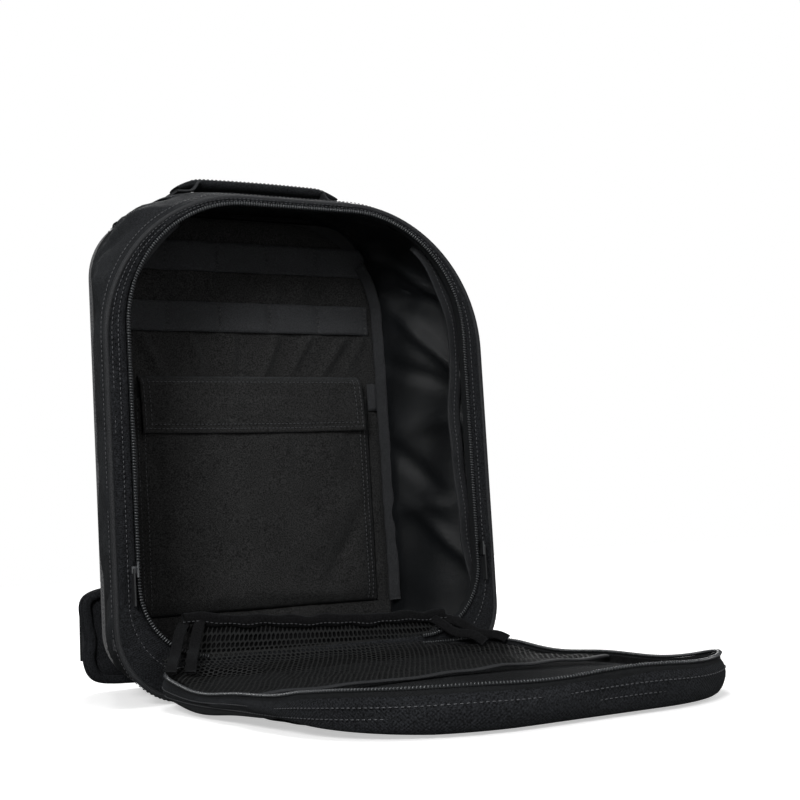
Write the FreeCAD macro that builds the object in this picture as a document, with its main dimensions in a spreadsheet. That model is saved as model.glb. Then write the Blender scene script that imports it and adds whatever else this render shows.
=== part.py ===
"""Trauma backpack with a fold-down front panel, as a parametric assembly in millimetres.

Frame: +Z up, the opening faces -Y, +X is to the right of someone who looks into the pack.
The origin is the centre of the base that the pack stands on. Every moving piece is placed
as it rests: front panel folded down on the floor, sliders at the foot of their chains.
"""
import FreeCAD, Part
import math
import os
import Sketcher

doc = FreeCAD.newDocument("trauma_backpack")

# ------------------------------------------------------------------ driving dimensions
SIZES = [
    # pack body
    ("body_width", 330), ("back_width", 280), ("body_height", 400), ("body_depth", 130),
    ("body_wall", 4), ("base_trim", 0.4), ("shoulder_radius", 116), ("back_shoulder_radius", 60),
    ("foot_radius", 46), ("plate_thickness", 3), ("border_width", 18), ("opening_foot_radius", 56),
    ("front_drop", 16), ("border_head", 7),
    ("hinge_height", 32), ("gap", 0.3),
    # zip chains
    ("coil_radius", 1.5), ("coil_pitch_gap", 0.4), ("coil_lift", 2.6), ("tape_thickness", 0.9),
    ("tape_width", 15),
    # stiffener stack against the back
    ("stack_margin", 3), ("foam_thickness", 8), ("sheet_thickness", 1.5), ("divider_thickness", 2.5),
    ("divider_margin", 12), ("divider_top_radius", 84), ("binding_width", 9), ("binding_thickness", 2.4),
    # load webbing
    ("webbing_height", 25.4), ("webbing_thickness", 1.6), ("row_margin", 9),
    ("row_headroom", 54), ("row_spacing", 52), ("bar_tack_spacing", 47), ("tack_width", 3),
    # inner pocket and its lid
    ("pocket_left_margin", 19), ("pocket_right_margin", 13), ("pocket_foot", 58),
    ("pocket_depth", 11), ("pocket_wall", 2), ("lid_inset", 9), ("lid_height", 48),
    ("lid_thickness", 2.4), ("lid_above_pocket", 18), ("lid_below_row", 38), ("tab_height", 24),
    # front panel
    ("panel_rim", 9), ("panel_depth", 20), ("panel_wall", 3),
    ("outer_pocket_inset", 28), ("outer_pocket_foot", 26), ("outer_pocket_headroom", 74),
    ("outer_pocket_radius", 62), ("outer_pocket_wall", 2), ("pocket_zip_offset", 12),
    ("mesh_length", 165), ("mesh_thickness", 1), ("mesh_binding_width", 8), ("mesh_inset", 0.3),
    # hinge line inside the pack
    ("hinge_fin_height", 24), ("hinge_fin_thickness", 2.4),
    # sliders and pulls
    ("slider_length", 11), ("slider_width", 8), ("slider_plate", 1.4), ("slider_play", 0.4),
    ("fin_height", 3), ("fin_length", 5), ("fin_width", 1.6), ("pivot_radius", 0.5),
    ("pivot_play", 0.08), ("pull_length", 26), ("pull_width", 5), ("pull_thickness", 1.2),
    ("pull_slot_play", 0.3),
    # carry handle
    ("handle_length", 110), ("handle_width", 24), ("handle_thickness", 9), ("handle_gap", 6),
    ("handle_setback", 15), ("anchor_length", 22), ("anchor_width", 30), ("anchor_thickness", 3.4),
    # carrying side
    ("back_pad_margin", 22), ("pad_foot_margin", 12), ("pad_head_margin", 6), ("back_pad_thickness", 10),
    ("yoke_width", 196), ("yoke_height", 30), ("yoke_thickness", 18), ("yoke_headroom", 6),
    ("strap_width", 62), ("strap_thickness", 12), ("strap_spacing", 124), ("strap_foot", 132),
    ("strap_bulge", 26), ("lock_width", 32), ("lock_height", 24), ("lock_thickness", 8),
    ("strap_webbing_width", 25.4), ("tail_thickness", 2), ("tail_margin", 8),
    # waist belt
    ("lumbar_width", 84), ("lumbar_height", 80), ("lumbar_foot", 4), ("lumbar_depth", 34),
    ("wing_length", 102), ("wing_thickness", 16), ("belt_width", 38), ("belt_length", 78),
    # buckles
    ("buckle_length", 30), ("buckle_width", 30), ("buckle_thickness", 8), ("prong_length", 14),
    ("prong_width", 5), ("prong_thickness", 3), ("socket_play", 0.4),
    ("chest_webbing", 20), ("chest_buckle_width", 24),
]

sheet = doc.addObject("Spreadsheet::Sheet", "size")
for row, (alias, value) in enumerate(SIZES, start=1):
    sheet.set("A%d" % row, alias.replace("_", " "))
    sheet.set("B%d" % row, str(value))
    sheet.setAlias("B%d" % row, alias)
doc.recompute()


ALIASES = {alias for alias, _ in SIZES}


def ex(text):
    """Turn words such as 'body_width / 2' into an expression on the spreadsheet."""
    words = text.replace("(", " ( ").replace(")", " ) ").split()
    return " ".join("size." + word if word in ALIASES else word for word in words)


def val(text):
    """The number that such an expression comes to now."""
    return float(sheet.evalExpression(ex(text)))


# ------------------------------------------------------------------ shared expressions
FRONT = "( - body_depth / 2 )"
BACK = "( body_depth / 2 )"
INNER_FRONT = "( plate_thickness - body_depth / 2 )"
INNER_BACK = "( body_depth / 2 - plate_thickness )"
OPEN_HALF = "( body_width / 2 - border_width )"
FRONT_TOP = "( body_height - front_drop )"
OPEN_TOP = "( %s - border_head )" % FRONT_TOP
OPEN_RADIUS = "( shoulder_radius - border_width )"
FOAM_FRONT = "( body_depth / 2 - plate_thickness - gap - foam_thickness )"
SHEET_FRONT = "( %s - gap - sheet_thickness )" % FOAM_FRONT
DIVIDER_FRONT = "( %s - gap - divider_thickness )" % SHEET_FRONT
STACK_HALF = "( back_width / 2 - body_wall - stack_margin )"
DIVIDER_HALF = "( back_width / 2 - divider_margin )"
UPPER_ROW = "( body_height - row_headroom )"
LOWER_ROW = "( %s - row_spacing )" % UPPER_ROW
POCKET_LEFT = "( pocket_left_margin - %s )" % DIVIDER_HALF
POCKET_RIGHT = "( %s - pocket_right_margin )" % DIVIDER_HALF
POCKET_FRONT = "( %s - gap - pocket_depth )" % DIVIDER_FRONT
LID_TOP = "( %s - lid_below_row )" % LOWER_ROW
POCKET_TOP = "( %s - lid_above_pocket )" % LID_TOP
LID_FRONT = "( %s - gap - lid_thickness )" % POCKET_FRONT
HINGE_Y = "( - body_depth / 2 - gap )"
PANEL_FOOT = "( hinge_height + coil_radius )"
SHELL_HALF = "( %s - tape_thickness / 2 - gap )" % OPEN_HALF
SHELL_TOP = "( %s - tape_thickness / 2 - gap )" % OPEN_TOP
SHELL_RADIUS = "( %s - tape_thickness / 2 - gap )" % OPEN_RADIUS
PANEL_COIL = "( coil_lift + 2 * coil_radius + coil_pitch_gap )"
CARRY_FACE = "( body_depth / 2 + gap )"
STRAP_FACE = "( body_depth / 2 + 2 * gap + yoke_thickness )"
STRAP_TOP = "( body_height - yoke_headroom )"
STRAP_LENGTH = "( %s - strap_foot )" % STRAP_TOP
LOCK_TOP = "( strap_foot - gap - strap_thickness / 4 )"
TAIL_FOOT = "( lumbar_foot + lumbar_height + tail_margin )"
LUMBAR_FACE = "( body_depth / 2 + gap + lumbar_depth )"


# ------------------------------------------------------------------ building blocks
def place(item, x="0", y="0", z="0"):
    """Bind the position of a piece to the spreadsheet."""
    for axis, text in zip("xyz", (x, y, z)):
        item.setExpression("Placement.Base." + axis, ex(text))


def bind(item, **properties):
    """Bind properties such as Length to expressions on the spreadsheet."""
    for name, text in properties.items():
        item.setExpression(name, ex(text))


def new_body(name):
    """A PartDesign body whose label is the piece's name."""
    body = doc.addObject("PartDesign::Body", name)
    body.Label = name
    return body


def new_sketch(body, role, offset, name):
    """A sketch on one of the body's own origin planes, moved along the plane's normal."""
    sketch = body.newObject("Sketcher::SketchObject", name)
    for feature in body.Origin.OriginFeatures:
        if feature.Role == role:
            sketch.AttachmentSupport = [(feature, "")]
    sketch.MapMode = "FlatFace"
    bind(sketch, **{"AttachmentOffset.Base.z": offset})
    return sketch


def dimension(sketch, label, text, kind, *where):
    """Add a dimension with a name and bind it."""
    index = sketch.addConstraint(Sketcher.Constraint(kind, *where, val(text)))
    sketch.renameConstraint(index, label)
    sketch.setExpression("Constraints." + label, ex(text))


def arch_loop(sketch, half, foot, top, shoulder, toe, tag, closed=True):
    """An upright outline: flat foot, rounded toes, upright sides, round shoulders, flat top.

    half is half the width, foot and top are heights, shoulder and toe are corner radii.
    Left open, the foot line is missing and the outline can serve as a path.
    """
    w, b, t, big, small = (val(item) for item in (half, foot, top, shoulder, toe))
    normal = FreeCAD.Vector(0, 0, 1)

    def arc(cx, cy, radius, start):
        circle = Part.Circle(FreeCAD.Vector(cx, cy, 0), normal, radius)
        return Part.ArcOfCircle(circle, math.radians(start), math.radians(start + 90))

    def line(x0, y0, x1, y1):
        return Part.LineSegment(FreeCAD.Vector(x0, y0, 0), FreeCAD.Vector(x1, y1, 0))

    shapes = [
        arc(w - small, b + small, small, -90),
        line(w, b + small, w, t - big),
        arc(w - big, t - big, big, 0),
        line(w - big, t, big - w, t),
        arc(big - w, t - big, big, 90),
        line(-w, t - big, -w, b + small),
        arc(small - w, b + small, small, 180),
    ]
    if closed:
        shapes.append(line(small - w, b, w - small, b))
    first = sketch.GeometryCount
    for shape in shapes:
        sketch.addGeometry(shape, False)
    count = len(shapes)
    ids = [first + index for index in range(count)]
    for index in range(count if closed else count - 1):
        follower = ids[(index + 1) % count]
        sketch.addConstraint(Sketcher.Constraint("Tangent", ids[index], 2, follower, 1))
    sketch.addConstraint(Sketcher.Constraint("Vertical", ids[1]))
    sketch.addConstraint(Sketcher.Constraint("Horizontal", ids[3]))
    sketch.addConstraint(Sketcher.Constraint("Vertical", ids[5]))
    dimension(sketch, tag + "_shoulder_r", shoulder, "Radius", ids[2])
    dimension(sketch, tag + "_shoulder_l", shoulder, "Radius", ids[4])
    dimension(sketch, tag + "_toe_r", toe, "Radius", ids[0])
    dimension(sketch, tag + "_toe_l", toe, "Radius", ids[6])
    dimension(sketch, tag + "_right", half, "DistanceX", -1, 1, ids[1], 1)
    dimension(sketch, tag + "_left", half, "DistanceX", ids[5], 1, -1, 1)
    dimension(sketch, tag + "_top", top, "DistanceY", -1, 1, ids[3], 1)
    dimension(sketch, tag + "_foot", foot, "DistanceY", -1, 1, ids[0], 1)
    if closed:
        sketch.addConstraint(Sketcher.Constraint("Horizontal", ids[7]))
    else:
        dimension(sketch, tag + "_foot_l", foot, "DistanceY", -1, 1, ids[6], 2)


def pad(body, sketch, length, name):
    """Pad a sketch along its normal; on the XZ plane that is towards -Y."""
    feature = body.newObject("PartDesign::Pad", name)
    feature.Profile = sketch
    bind(feature, Length=length)
    sketch.Visibility = False
    body.Tip = feature
    return feature


def round_all(body, radius, name):
    """Round every edge of a soft piece."""
    doc.recompute()
    base = body.Tip
    feature = body.newObject("PartDesign::Fillet", name)
    feature.Base = (base, [""])
    feature.UseAllEdges = True
    bind(feature, Radius=radius)
    body.Tip = feature


def arch_plate(name, rear, thickness, outline, hole=None):
    """A flat plate parallel to the front, from y = rear forward, with an optional hole."""
    body = new_body(name)
    sketch = new_sketch(body, "XZ_Plane", "- %s" % rear, name + "_outline")
    arch_loop(sketch, *outline, "outer")
    if hole:
        arch_loop(sketch, *hole, "inner")
    pad(body, sketch, thickness, name + "_pad")
    return body


def block(name, x0, x1, y0, y1, z0, z1):
    """A plain box between two corners."""
    item = doc.addObject("Part::Box", name)
    item.Label = name
    bind(item, Length="( %s ) - ( %s )" % (x1, x0), Width="( %s ) - ( %s )" % (y1, y0),
         Height="( %s ) - ( %s )" % (z1, z0))
    place(item, x0, y0, z0)
    return item


def soft_block(name, x0, x1, y0, y1, z0, z1, radius):
    """A box with every edge rounded, for padded pieces."""
    body = new_body(name)
    core = body.newObject("PartDesign::AdditiveBox", name + "_core")
    bind(core, Length="( %s ) - ( %s )" % (x1, x0), Width="( %s ) - ( %s )" % (y1, y0),
         Height="( %s ) - ( %s )" % (z1, z0))
    body.Tip = core
    round_all(body, radius, name + "_round")
    place(body, x0, y0, z0)
    return body


def boolean(kind, name, *parts):
    """Part::Cut or Part::MultiFuse of other pieces."""
    item = doc.addObject(kind, name)
    item.Label = name
    if kind == "Part::Cut":
        item.Base, item.Tool = parts
    else:
        item.Shapes = list(parts)
    return item


# ------------------------------------------------------------------ pack body
def body_ring(body, inset, kind, name):
    """Loft through the front, middle and back outlines, all inset by the given wall."""
    middle = ("( body_width + back_width ) / 2", "body_height", "( shoulder_radius + back_shoulder_radius ) / 2")
    rings = []
    for label, depth, (width, top, shoulder) in (
            ("front", "- %s - gap" % INNER_FRONT, ("body_width", FRONT_TOP, "shoulder_radius")),
            ("middle", "0", middle),
            ("back", "gap - %s" % INNER_BACK, ("back_width", "body_height", "back_shoulder_radius"))):
        sketch = new_sketch(body, "XZ_Plane", depth, "%s_%s" % (name, label))
        arch_loop(sketch, "( %s ) / 2 - %s" % (width, inset), "%s - base_trim" % inset,
                  "%s - %s" % (top, inset), "( %s ) - %s" % (shoulder, inset),
                  "foot_radius - %s" % inset, "ring")
        rings.append(sketch)
    loft = body.newObject(kind, name)
    loft.Profile = rings[0]
    loft.Sections = rings[1:]
    loft.Ruled = True
    body.Tip = loft
    doc.recompute()


def gusset_shell():
    """Top, sides and base in one padded band that narrows towards the back, its base cut flat."""
    body = new_body("gusset_shell")
    body_ring(body, "0", "PartDesign::AdditiveLoft", "outside")
    body_ring(body, "body_wall", "PartDesign::SubtractiveLoft", "inside")
    trim = body.newObject("PartDesign::SubtractiveBox", "base_cut")
    bind(trim, Length="body_width", Width="body_depth", Height="body_wall")
    place(trim, "- body_width / 2", FRONT, "- body_wall")
    body.Tip = trim
    return "gusset_shell"


def front_border():
    """Flat border round the opening, with the low wall under the hinge line."""
    arch_plate("front_border", INNER_FRONT, "plate_thickness",
               ("body_width / 2", "0", FRONT_TOP, "shoulder_radius", "foot_radius"),
               ("%s + tape_thickness / 2 + gap / 2" % OPEN_HALF,
                "hinge_height - tape_thickness / 2 - gap / 2",
                "%s + tape_thickness / 2 + gap / 2" % OPEN_TOP,
                "%s + tape_thickness / 2 + gap / 2" % OPEN_RADIUS,
                "opening_foot_radius + tape_thickness / 2 + gap / 2"))
    return "front_border"


def back_panel():
    """Rear wall behind the padding."""
    arch_plate("back_panel", BACK, "plate_thickness",
               ("back_width / 2", "0", "body_height", "back_shoulder_radius", "foot_radius"))
    return "back_panel"


def stack_plate(name, front, thickness):
    """One layer of the stiffening stack inside the back."""
    arch_plate(name, "( %s + %s )" % (front, thickness), thickness,
               (STACK_HALF, "body_wall + stack_margin", "body_height - body_wall - stack_margin",
                "back_shoulder_radius - body_wall", "foot_radius - body_wall"))
    return name


def divider_panel():
    """Lined panel in front of the stiffener, the wall that the inner pocket is sewn to."""
    arch_plate("divider_panel", "( %s + divider_thickness )" % DIVIDER_FRONT, "divider_thickness",
               (DIVIDER_HALF, "body_wall + stack_margin", "body_height - body_wall - stack_margin",
                "divider_top_radius", "foot_radius - body_wall"))
    return "divider_panel"


def divider_binding(name, side):
    """Bound seam tape that stands up along one edge of the divider."""
    edge = "%d * %s" % (side, DIVIDER_HALF)
    inner = "%d * ( %s - binding_thickness )" % (side, DIVIDER_HALF)
    low, high = (inner, edge) if side > 0 else (edge, inner)
    block(name, low, high, "%s - gap - binding_width" % DIVIDER_FRONT, "%s - gap" % DIVIDER_FRONT,
          "pocket_foot", "%s + webbing_height" % LOWER_ROW)
    return name


def webbing_row(name, foot):
    """A row of load webbing, sewn down at even bar tacks with flat loops between them."""
    half = "( %s - row_margin )" % DIVIDER_HALF
    strip = block(name + "_strip", "- %s" % half, half,
                  "%s - gap - webbing_thickness" % DIVIDER_FRONT, "%s - gap" % DIVIDER_FRONT,
                  foot, "%s + webbing_height" % foot)
    count = int(val("2 * %s" % half) // val("bar_tack_spacing"))
    tacks = []
    for index in range(count + 1):
        centre = "bar_tack_spacing * ( %d - %d / 2 )" % (index, count)
        tacks.append(block("%s_tack_%d" % (name, index), "%s - tack_width / 2" % centre,
                           "%s + tack_width / 2" % centre,
                           "%s - gap - webbing_thickness - gap" % DIVIDER_FRONT,
                           "%s - gap" % DIVIDER_FRONT, foot, "%s + webbing_height" % foot))
    boolean("Part::MultiFuse", name, strip, *tacks)
    return name


def inner_pocket():
    """Open-topped pocket: front, two sides and a floor in one folded piece."""
    name = "inner_pocket"
    rear = "%s - gap" % DIVIDER_FRONT
    outer = block(name + "_outer", POCKET_LEFT, POCKET_RIGHT, POCKET_FRONT, rear, "pocket_foot", POCKET_TOP)
    inner = block(name + "_hollow", POCKET_LEFT + " + pocket_wall", POCKET_RIGHT + " - pocket_wall",
                  POCKET_FRONT + " + pocket_wall", rear + " + pocket_wall", "pocket_foot + pocket_wall",
                  POCKET_TOP + " + pocket_wall")
    boolean("Part::Cut", name, outer, inner)
    return name


def pocket_lid():
    """Flap over the pocket's mouth: it leaves the divider, turns down and hangs in front."""
    name = "pocket_lid"
    left = POCKET_LEFT + " + lid_inset"
    right = POCKET_RIGHT + " - lid_inset"
    rear = "%s - gap" % DIVIDER_FRONT
    outer = block(name + "_outer", left, right, LID_FRONT, rear, LID_TOP + " - lid_height", LID_TOP)
    inner = block(name + "_room", left + " - gap", right + " + gap", LID_FRONT + " + lid_thickness",
                  rear + " + gap", LID_TOP + " - lid_height - gap", LID_TOP + " - lid_thickness")
    boolean("Part::Cut", name, outer, inner)
    return name


def pocket_tab(name, side):
    """Short sewn tab that ties the pocket's top corner to the divider."""
    edge = POCKET_RIGHT + " + gap" if side > 0 else POCKET_LEFT + " - gap"
    tip = "%d * ( %s - binding_thickness - gap )" % (side, DIVIDER_HALF)
    low, high = (edge, tip) if side > 0 else (tip, edge)
    block(name, low, high, "%s - gap - pocket_wall" % DIVIDER_FRONT, "%s - gap" % DIVIDER_FRONT,
          POCKET_TOP + " - tab_height / 2", POCKET_TOP + " + tab_height / 2")
    return name


def hinge_binding():
    """Bound seam that stands up behind the hinge line."""
    rear = "%s + gap + hinge_fin_thickness" % INNER_FRONT
    half = "( %s - opening_foot_radius - gap )" % OPEN_HALF
    block("hinge_binding", "- %s" % half, half, "%s + gap" % INNER_FRONT,
          rear, "hinge_height + tape_thickness / 2 + gap", "hinge_height + hinge_fin_height")
    return "hinge_binding"


def sweep_round(body, path, start, along, height, radius, name):
    """Sweep a circle from the path's right-hand foot, where the path runs along X."""
    section = new_sketch(body, "YZ_Plane", start, name + "_section")
    centre = FreeCAD.Vector(val(along), val(height), 0)
    section.addGeometry(Part.Circle(centre, FreeCAD.Vector(0, 0, 1), val(radius)), False)
    dimension(section, "radius", radius, "Radius", 0)
    dimension(section, "height", height, "DistanceY", -1, 1, 0, 3)
    dimension(section, "along", "- ( %s )" % along, "DistanceX", 0, 3, -1, 1)
    pipe = body.newObject("PartDesign::AdditivePipe", name + "_sweep")
    pipe.Profile = section
    pipe.Spine = (path, [""])
    pipe.Mode = "Frenet"
    body.Tip = pipe


def zip_coil(name, out, foot):
    """One half of the zip chain, a round coil that follows the opening.

    out is how far in front of the border's face the coil's centre lies.
    """
    body = new_body(name)
    depth = "( - body_depth / 2 - %s )" % out
    path = new_sketch(body, "XZ_Plane", "- %s" % depth, name + "_path")
    arch_loop(path, OPEN_HALF, foot, OPEN_TOP, OPEN_RADIUS, "opening_foot_radius", "path", closed=False)
    sweep_round(body, path, "%s - opening_foot_radius" % OPEN_HALF, depth, foot, "coil_radius", name)
    return name


def zip_tape(name, out, width, foot):
    """Woven tape that carries a coil: a thin band standing square to the border.

    out is how far in front of the border's face its outer edge lies.
    """
    half = "%s + tape_thickness / 2" % OPEN_HALF
    rear = "( - body_depth / 2 - %s + %s )" % (out, width)
    arch_plate(name, rear, width,
               (half, "%s - tape_thickness / 2" % foot, "%s + tape_thickness / 2" % OPEN_TOP,
                "%s + tape_thickness / 2" % OPEN_RADIUS, "opening_foot_radius + tape_thickness / 2"),
               ("%s - tape_thickness" % half, "%s + tape_thickness / 2" % foot,
                "%s - tape_thickness / 2" % OPEN_TOP, "%s - tape_thickness / 2" % OPEN_RADIUS,
                "opening_foot_radius - tape_thickness / 2"))
    return name


# ------------------------------------------------------------------ front panel, built closed
def panel_shell():
    """Shallow tray that closes the opening: gusset wall and face in one piece."""
    name = "panel_shell"
    body = new_body(name)
    rear = "( - body_depth / 2 - panel_rim )"
    sketch = new_sketch(body, "XZ_Plane", "- %s" % rear, name + "_outline")
    foot = "%s + gap + tape_thickness" % PANEL_FOOT
    arch_loop(sketch, SHELL_HALF, foot, SHELL_TOP, SHELL_RADIUS, "opening_foot_radius", "outer")
    pad(body, sketch, "panel_depth - panel_rim", name + "_pad")
    hollow = new_sketch(body, "XZ_Plane", "- %s" % rear, name + "_hollow")
    arch_loop(hollow, "%s - panel_wall" % SHELL_HALF, "%s + panel_wall" % foot,
              "%s - panel_wall" % SHELL_TOP, "%s - panel_wall" % SHELL_RADIUS,
              "opening_foot_radius - panel_wall", "inner")
    pocket = body.newObject("PartDesign::Pocket", name + "_pocket")
    pocket.Profile = hollow
    pocket.Reversed = True
    bind(pocket, Length="panel_depth - panel_rim - panel_wall")
    body.Tip = pocket
    return name


def outer_pocket():
    """Flat closed pocket on the face of the panel, hollow behind its own front."""
    name = "outer_pocket"
    body = new_body(name)
    rear = "( - body_depth / 2 - panel_depth - gap )"
    depth = "hinge_height - panel_depth"
    half = "%s - outer_pocket_inset" % OPEN_HALF
    foot = "hinge_height + outer_pocket_foot"
    top = "%s - outer_pocket_headroom" % OPEN_TOP
    sketch = new_sketch(body, "XZ_Plane", "- %s" % rear, name + "_outline")
    arch_loop(sketch, half, foot, top, "outer_pocket_radius", "opening_foot_radius", "outer")
    pad(body, sketch, depth, name + "_pad")
    hollow = new_sketch(body, "XZ_Plane", "- %s" % rear, name + "_hollow")
    arch_loop(hollow, "%s - outer_pocket_wall" % half, "%s + outer_pocket_wall" % foot,
              "%s - outer_pocket_wall" % top, "outer_pocket_radius - outer_pocket_wall",
              "opening_foot_radius - outer_pocket_wall", "inner")
    pocket = body.newObject("PartDesign::Pocket", name + "_pocket")
    pocket.Profile = hollow
    pocket.Reversed = True
    bind(pocket, Length="%s - outer_pocket_wall" % depth)
    body.Tip = pocket
    return name


POCKET_ZIP_HEIGHT = "( %s - outer_pocket_headroom + pocket_zip_offset )" % OPEN_TOP
POCKET_ZIP_HALF = "( %s - outer_pocket_inset - outer_pocket_radius / 2 )" % OPEN_HALF
PANEL_FACE = "( - body_depth / 2 - panel_depth - gap )"


def pocket_zip_tape():
    """Tape of the outer pocket's zip, flat on the panel's face above the pocket."""
    block("pocket_zip_tape", "- %s" % POCKET_ZIP_HALF, POCKET_ZIP_HALF, "%s - tape_thickness" % PANEL_FACE,
          PANEL_FACE, "%s - tape_width / 2" % POCKET_ZIP_HEIGHT, "%s + tape_width / 2" % POCKET_ZIP_HEIGHT)
    return "pocket_zip_tape"


def pocket_zip_coil():
    """Closed chain of the outer pocket's zip."""
    item = doc.addObject("Part::Cylinder", "pocket_zip_coil")
    item.Label = "pocket_zip_coil"
    item.Placement.Rotation = FreeCAD.Rotation(FreeCAD.Vector(0, 1, 0), 90)
    bind(item, Radius="coil_radius", Height="2 * %s" % POCKET_ZIP_HALF)
    place(item, "- %s" % POCKET_ZIP_HALF, "%s - tape_thickness - gap - coil_radius" % PANEL_FACE,
          POCKET_ZIP_HEIGHT)
    return "pocket_zip_coil"


MESH_REAR = "( - body_depth / 2 - panel_rim - 1.5 * gap )"
MESH_FOOT = "( %s + 2 * gap + tape_thickness + panel_wall )" % PANEL_FOOT
MESH_HALF = "( %s - panel_wall - mesh_inset )" % SHELL_HALF


def mesh_pocket():
    """Net pocket inside the panel, from the hinge end to its bound mouth."""
    block("mesh_pocket", "- %s" % MESH_HALF, MESH_HALF, "%s - mesh_thickness" % MESH_REAR, MESH_REAR,
          "%s + opening_foot_radius" % MESH_FOOT, "%s + mesh_length" % MESH_FOOT)
    return "mesh_pocket"


def mesh_binding():
    """Bound edge at the mouth of the net pocket, reaching back to the panel's face."""
    low = "%s + mesh_length + gap" % MESH_FOOT
    block("mesh_binding", "- %s" % MESH_HALF, MESH_HALF, "%s - 2 * mesh_thickness" % MESH_REAR, MESH_REAR,
          low, "%s + mesh_binding_width" % low)
    return "mesh_binding"


# ------------------------------------------------------------------ sliders and pulls
def slider(name):
    """Slider in its own axes: X along the chain, Z outward, plate centred on the origin."""
    plate = block(name + "_plate", "- slider_length / 2", "slider_length / 2", "- slider_width / 2",
                  "slider_width / 2", "0", "slider_plate")
    fin = block(name + "_fin", "- fin_length / 2", "fin_length / 2", "- fin_width / 2", "fin_width / 2",
                "slider_plate / 2", "slider_plate + fin_height")
    hole = doc.addObject("Part::Cylinder", name + "_eye")
    hole.Placement.Rotation = FreeCAD.Rotation(FreeCAD.Vector(1, 0, 0), -90)
    bind(hole, Radius="pivot_radius + pivot_play", Height="2 * fin_width")
    place(hole, "0", "- fin_width", "slider_plate + fin_height / 2")
    boolean("Part::Cut", name, boolean("Part::MultiFuse", name + "_metal", plate, fin), hole)
    return name


def pull(name):
    """Pull tab forked round the slider's fin, its pin in the fin's eye, lying towards -X."""
    half = "( fin_width / 2 + pull_slot_play )"
    reach = "( fin_length / 2 + fin_height / 2 + pull_slot_play )"
    mid = "( slider_plate + fin_height / 2 )"
    tab = block(name + "_tab", "- pull_length", "2 * pivot_radius", "- pull_width / 2", "pull_width / 2",
                "%s - pull_thickness / 2" % mid, "%s + pull_thickness / 2" % mid)
    slot = block(name + "_slot", "- %s" % reach, "pull_length", "- %s" % half, half,
                 "%s - pull_thickness" % mid, "%s + pull_thickness" % mid)
    pin = doc.addObject("Part::Cylinder", name + "_pin")
    pin.Placement.Rotation = FreeCAD.Rotation(FreeCAD.Vector(1, 0, 0), -90)
    bind(pin, Radius="pivot_radius", Height="pull_width - 2 * gap")
    place(pin, "0", "gap - pull_width / 2", mid)
    boolean("Part::MultiFuse", name, boolean("Part::Cut", name + "_fork", tab, slot), pin)
    return name


def turn(item, along, across):
    """Turn a slider or pull so that its X and Y axes lie along the given directions."""
    x = FreeCAD.Vector(*along)
    y = FreeCAD.Vector(*across)
    item.Placement = FreeCAD.Placement(item.Placement.Base, FreeCAD.Rotation(x, y, x.cross(y), "XYZ"))


def main_slider(side_name, side):
    """Slider and pull of the main zip, outside the foot of one upright stretch of chain."""
    names = [slider("slider_" + side_name), pull("pull_" + side_name)]
    for name in names:
        item = doc.getObject(name)
        turn(item, (0, 0, 1), (0, -side, 0))
        place(item, "%d * ( %s + coil_radius + slider_play )" % (side, OPEN_HALF),
              "%s - coil_lift - coil_radius - coil_pitch_gap / 2" % FRONT,
              "hinge_height + opening_foot_radius + slider_length")
    return names


def pocket_slider():
    """Slider and pull of the outer pocket, at the left end of its chain."""
    names = [slider("pocket_slider"), pull("pocket_pull")]
    for name in names:
        item = doc.getObject(name)
        turn(item, (-1, 0, 0), (0, 0, -1))
        place(item, "slider_length - %s" % POCKET_ZIP_HALF,
              "%s - tape_thickness - 2 * gap - 2 * coil_radius" % PANEL_FACE, POCKET_ZIP_HEIGHT)
    return names


# ------------------------------------------------------------------ carry handle
def grab_handle():
    """Padded grip held between its two anchors."""
    foot = "body_height + handle_gap"
    soft_block("grab_handle", "- handle_length / 2", "handle_length / 2",
               "handle_setback - handle_width / 2", "handle_setback + handle_width / 2",
               foot, "%s + handle_thickness" % foot, "handle_thickness / 3")
    return "grab_handle"


def handle_anchor(name, side):
    """Folded webbing that climbs from the pack's top to one end of the grip."""
    near = "%d * ( handle_length / 2 + gap )" % side
    wall = "%d * ( handle_length / 2 + gap + anchor_thickness )" % side
    far = "%d * ( handle_length / 2 + gap + anchor_length )" % side
    post_low, post_high = (near, wall) if side > 0 else (wall, near)
    foot_low, foot_high = (near, far) if side > 0 else (far, near)
    base = "body_height + gap"
    front = "handle_setback - anchor_width / 2"
    rear = "handle_setback + anchor_width / 2"
    post = block(name + "_post", post_low, post_high, front, rear, base,
                 "body_height + handle_gap + 0.75 * handle_thickness")
    foot = block(name + "_foot", foot_low, foot_high, front, rear, base, "%s + anchor_thickness" % base)
    boolean("Part::MultiFuse", name, post, foot)
    return name


# ------------------------------------------------------------------ carrying side
def back_pad():
    """Ventilated pad on the wearer's side."""
    half = "( back_width / 2 - back_pad_margin )"
    soft_block("back_pad", "- %s" % half, half, CARRY_FACE, "%s + back_pad_thickness" % CARRY_FACE,
               "lumbar_foot + lumbar_height + pad_foot_margin",
               "%s - yoke_height - pad_head_margin" % STRAP_TOP, "back_pad_thickness / 3")
    return "back_pad"


def shoulder_yoke():
    """Reinforced block that both shoulder straps are sewn to."""
    soft_block("shoulder_yoke", "- yoke_width / 2", "yoke_width / 2", CARRY_FACE,
               "%s + yoke_thickness" % CARRY_FACE, "%s - yoke_height" % STRAP_TOP, STRAP_TOP, "3")
    return "shoulder_yoke"


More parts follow.
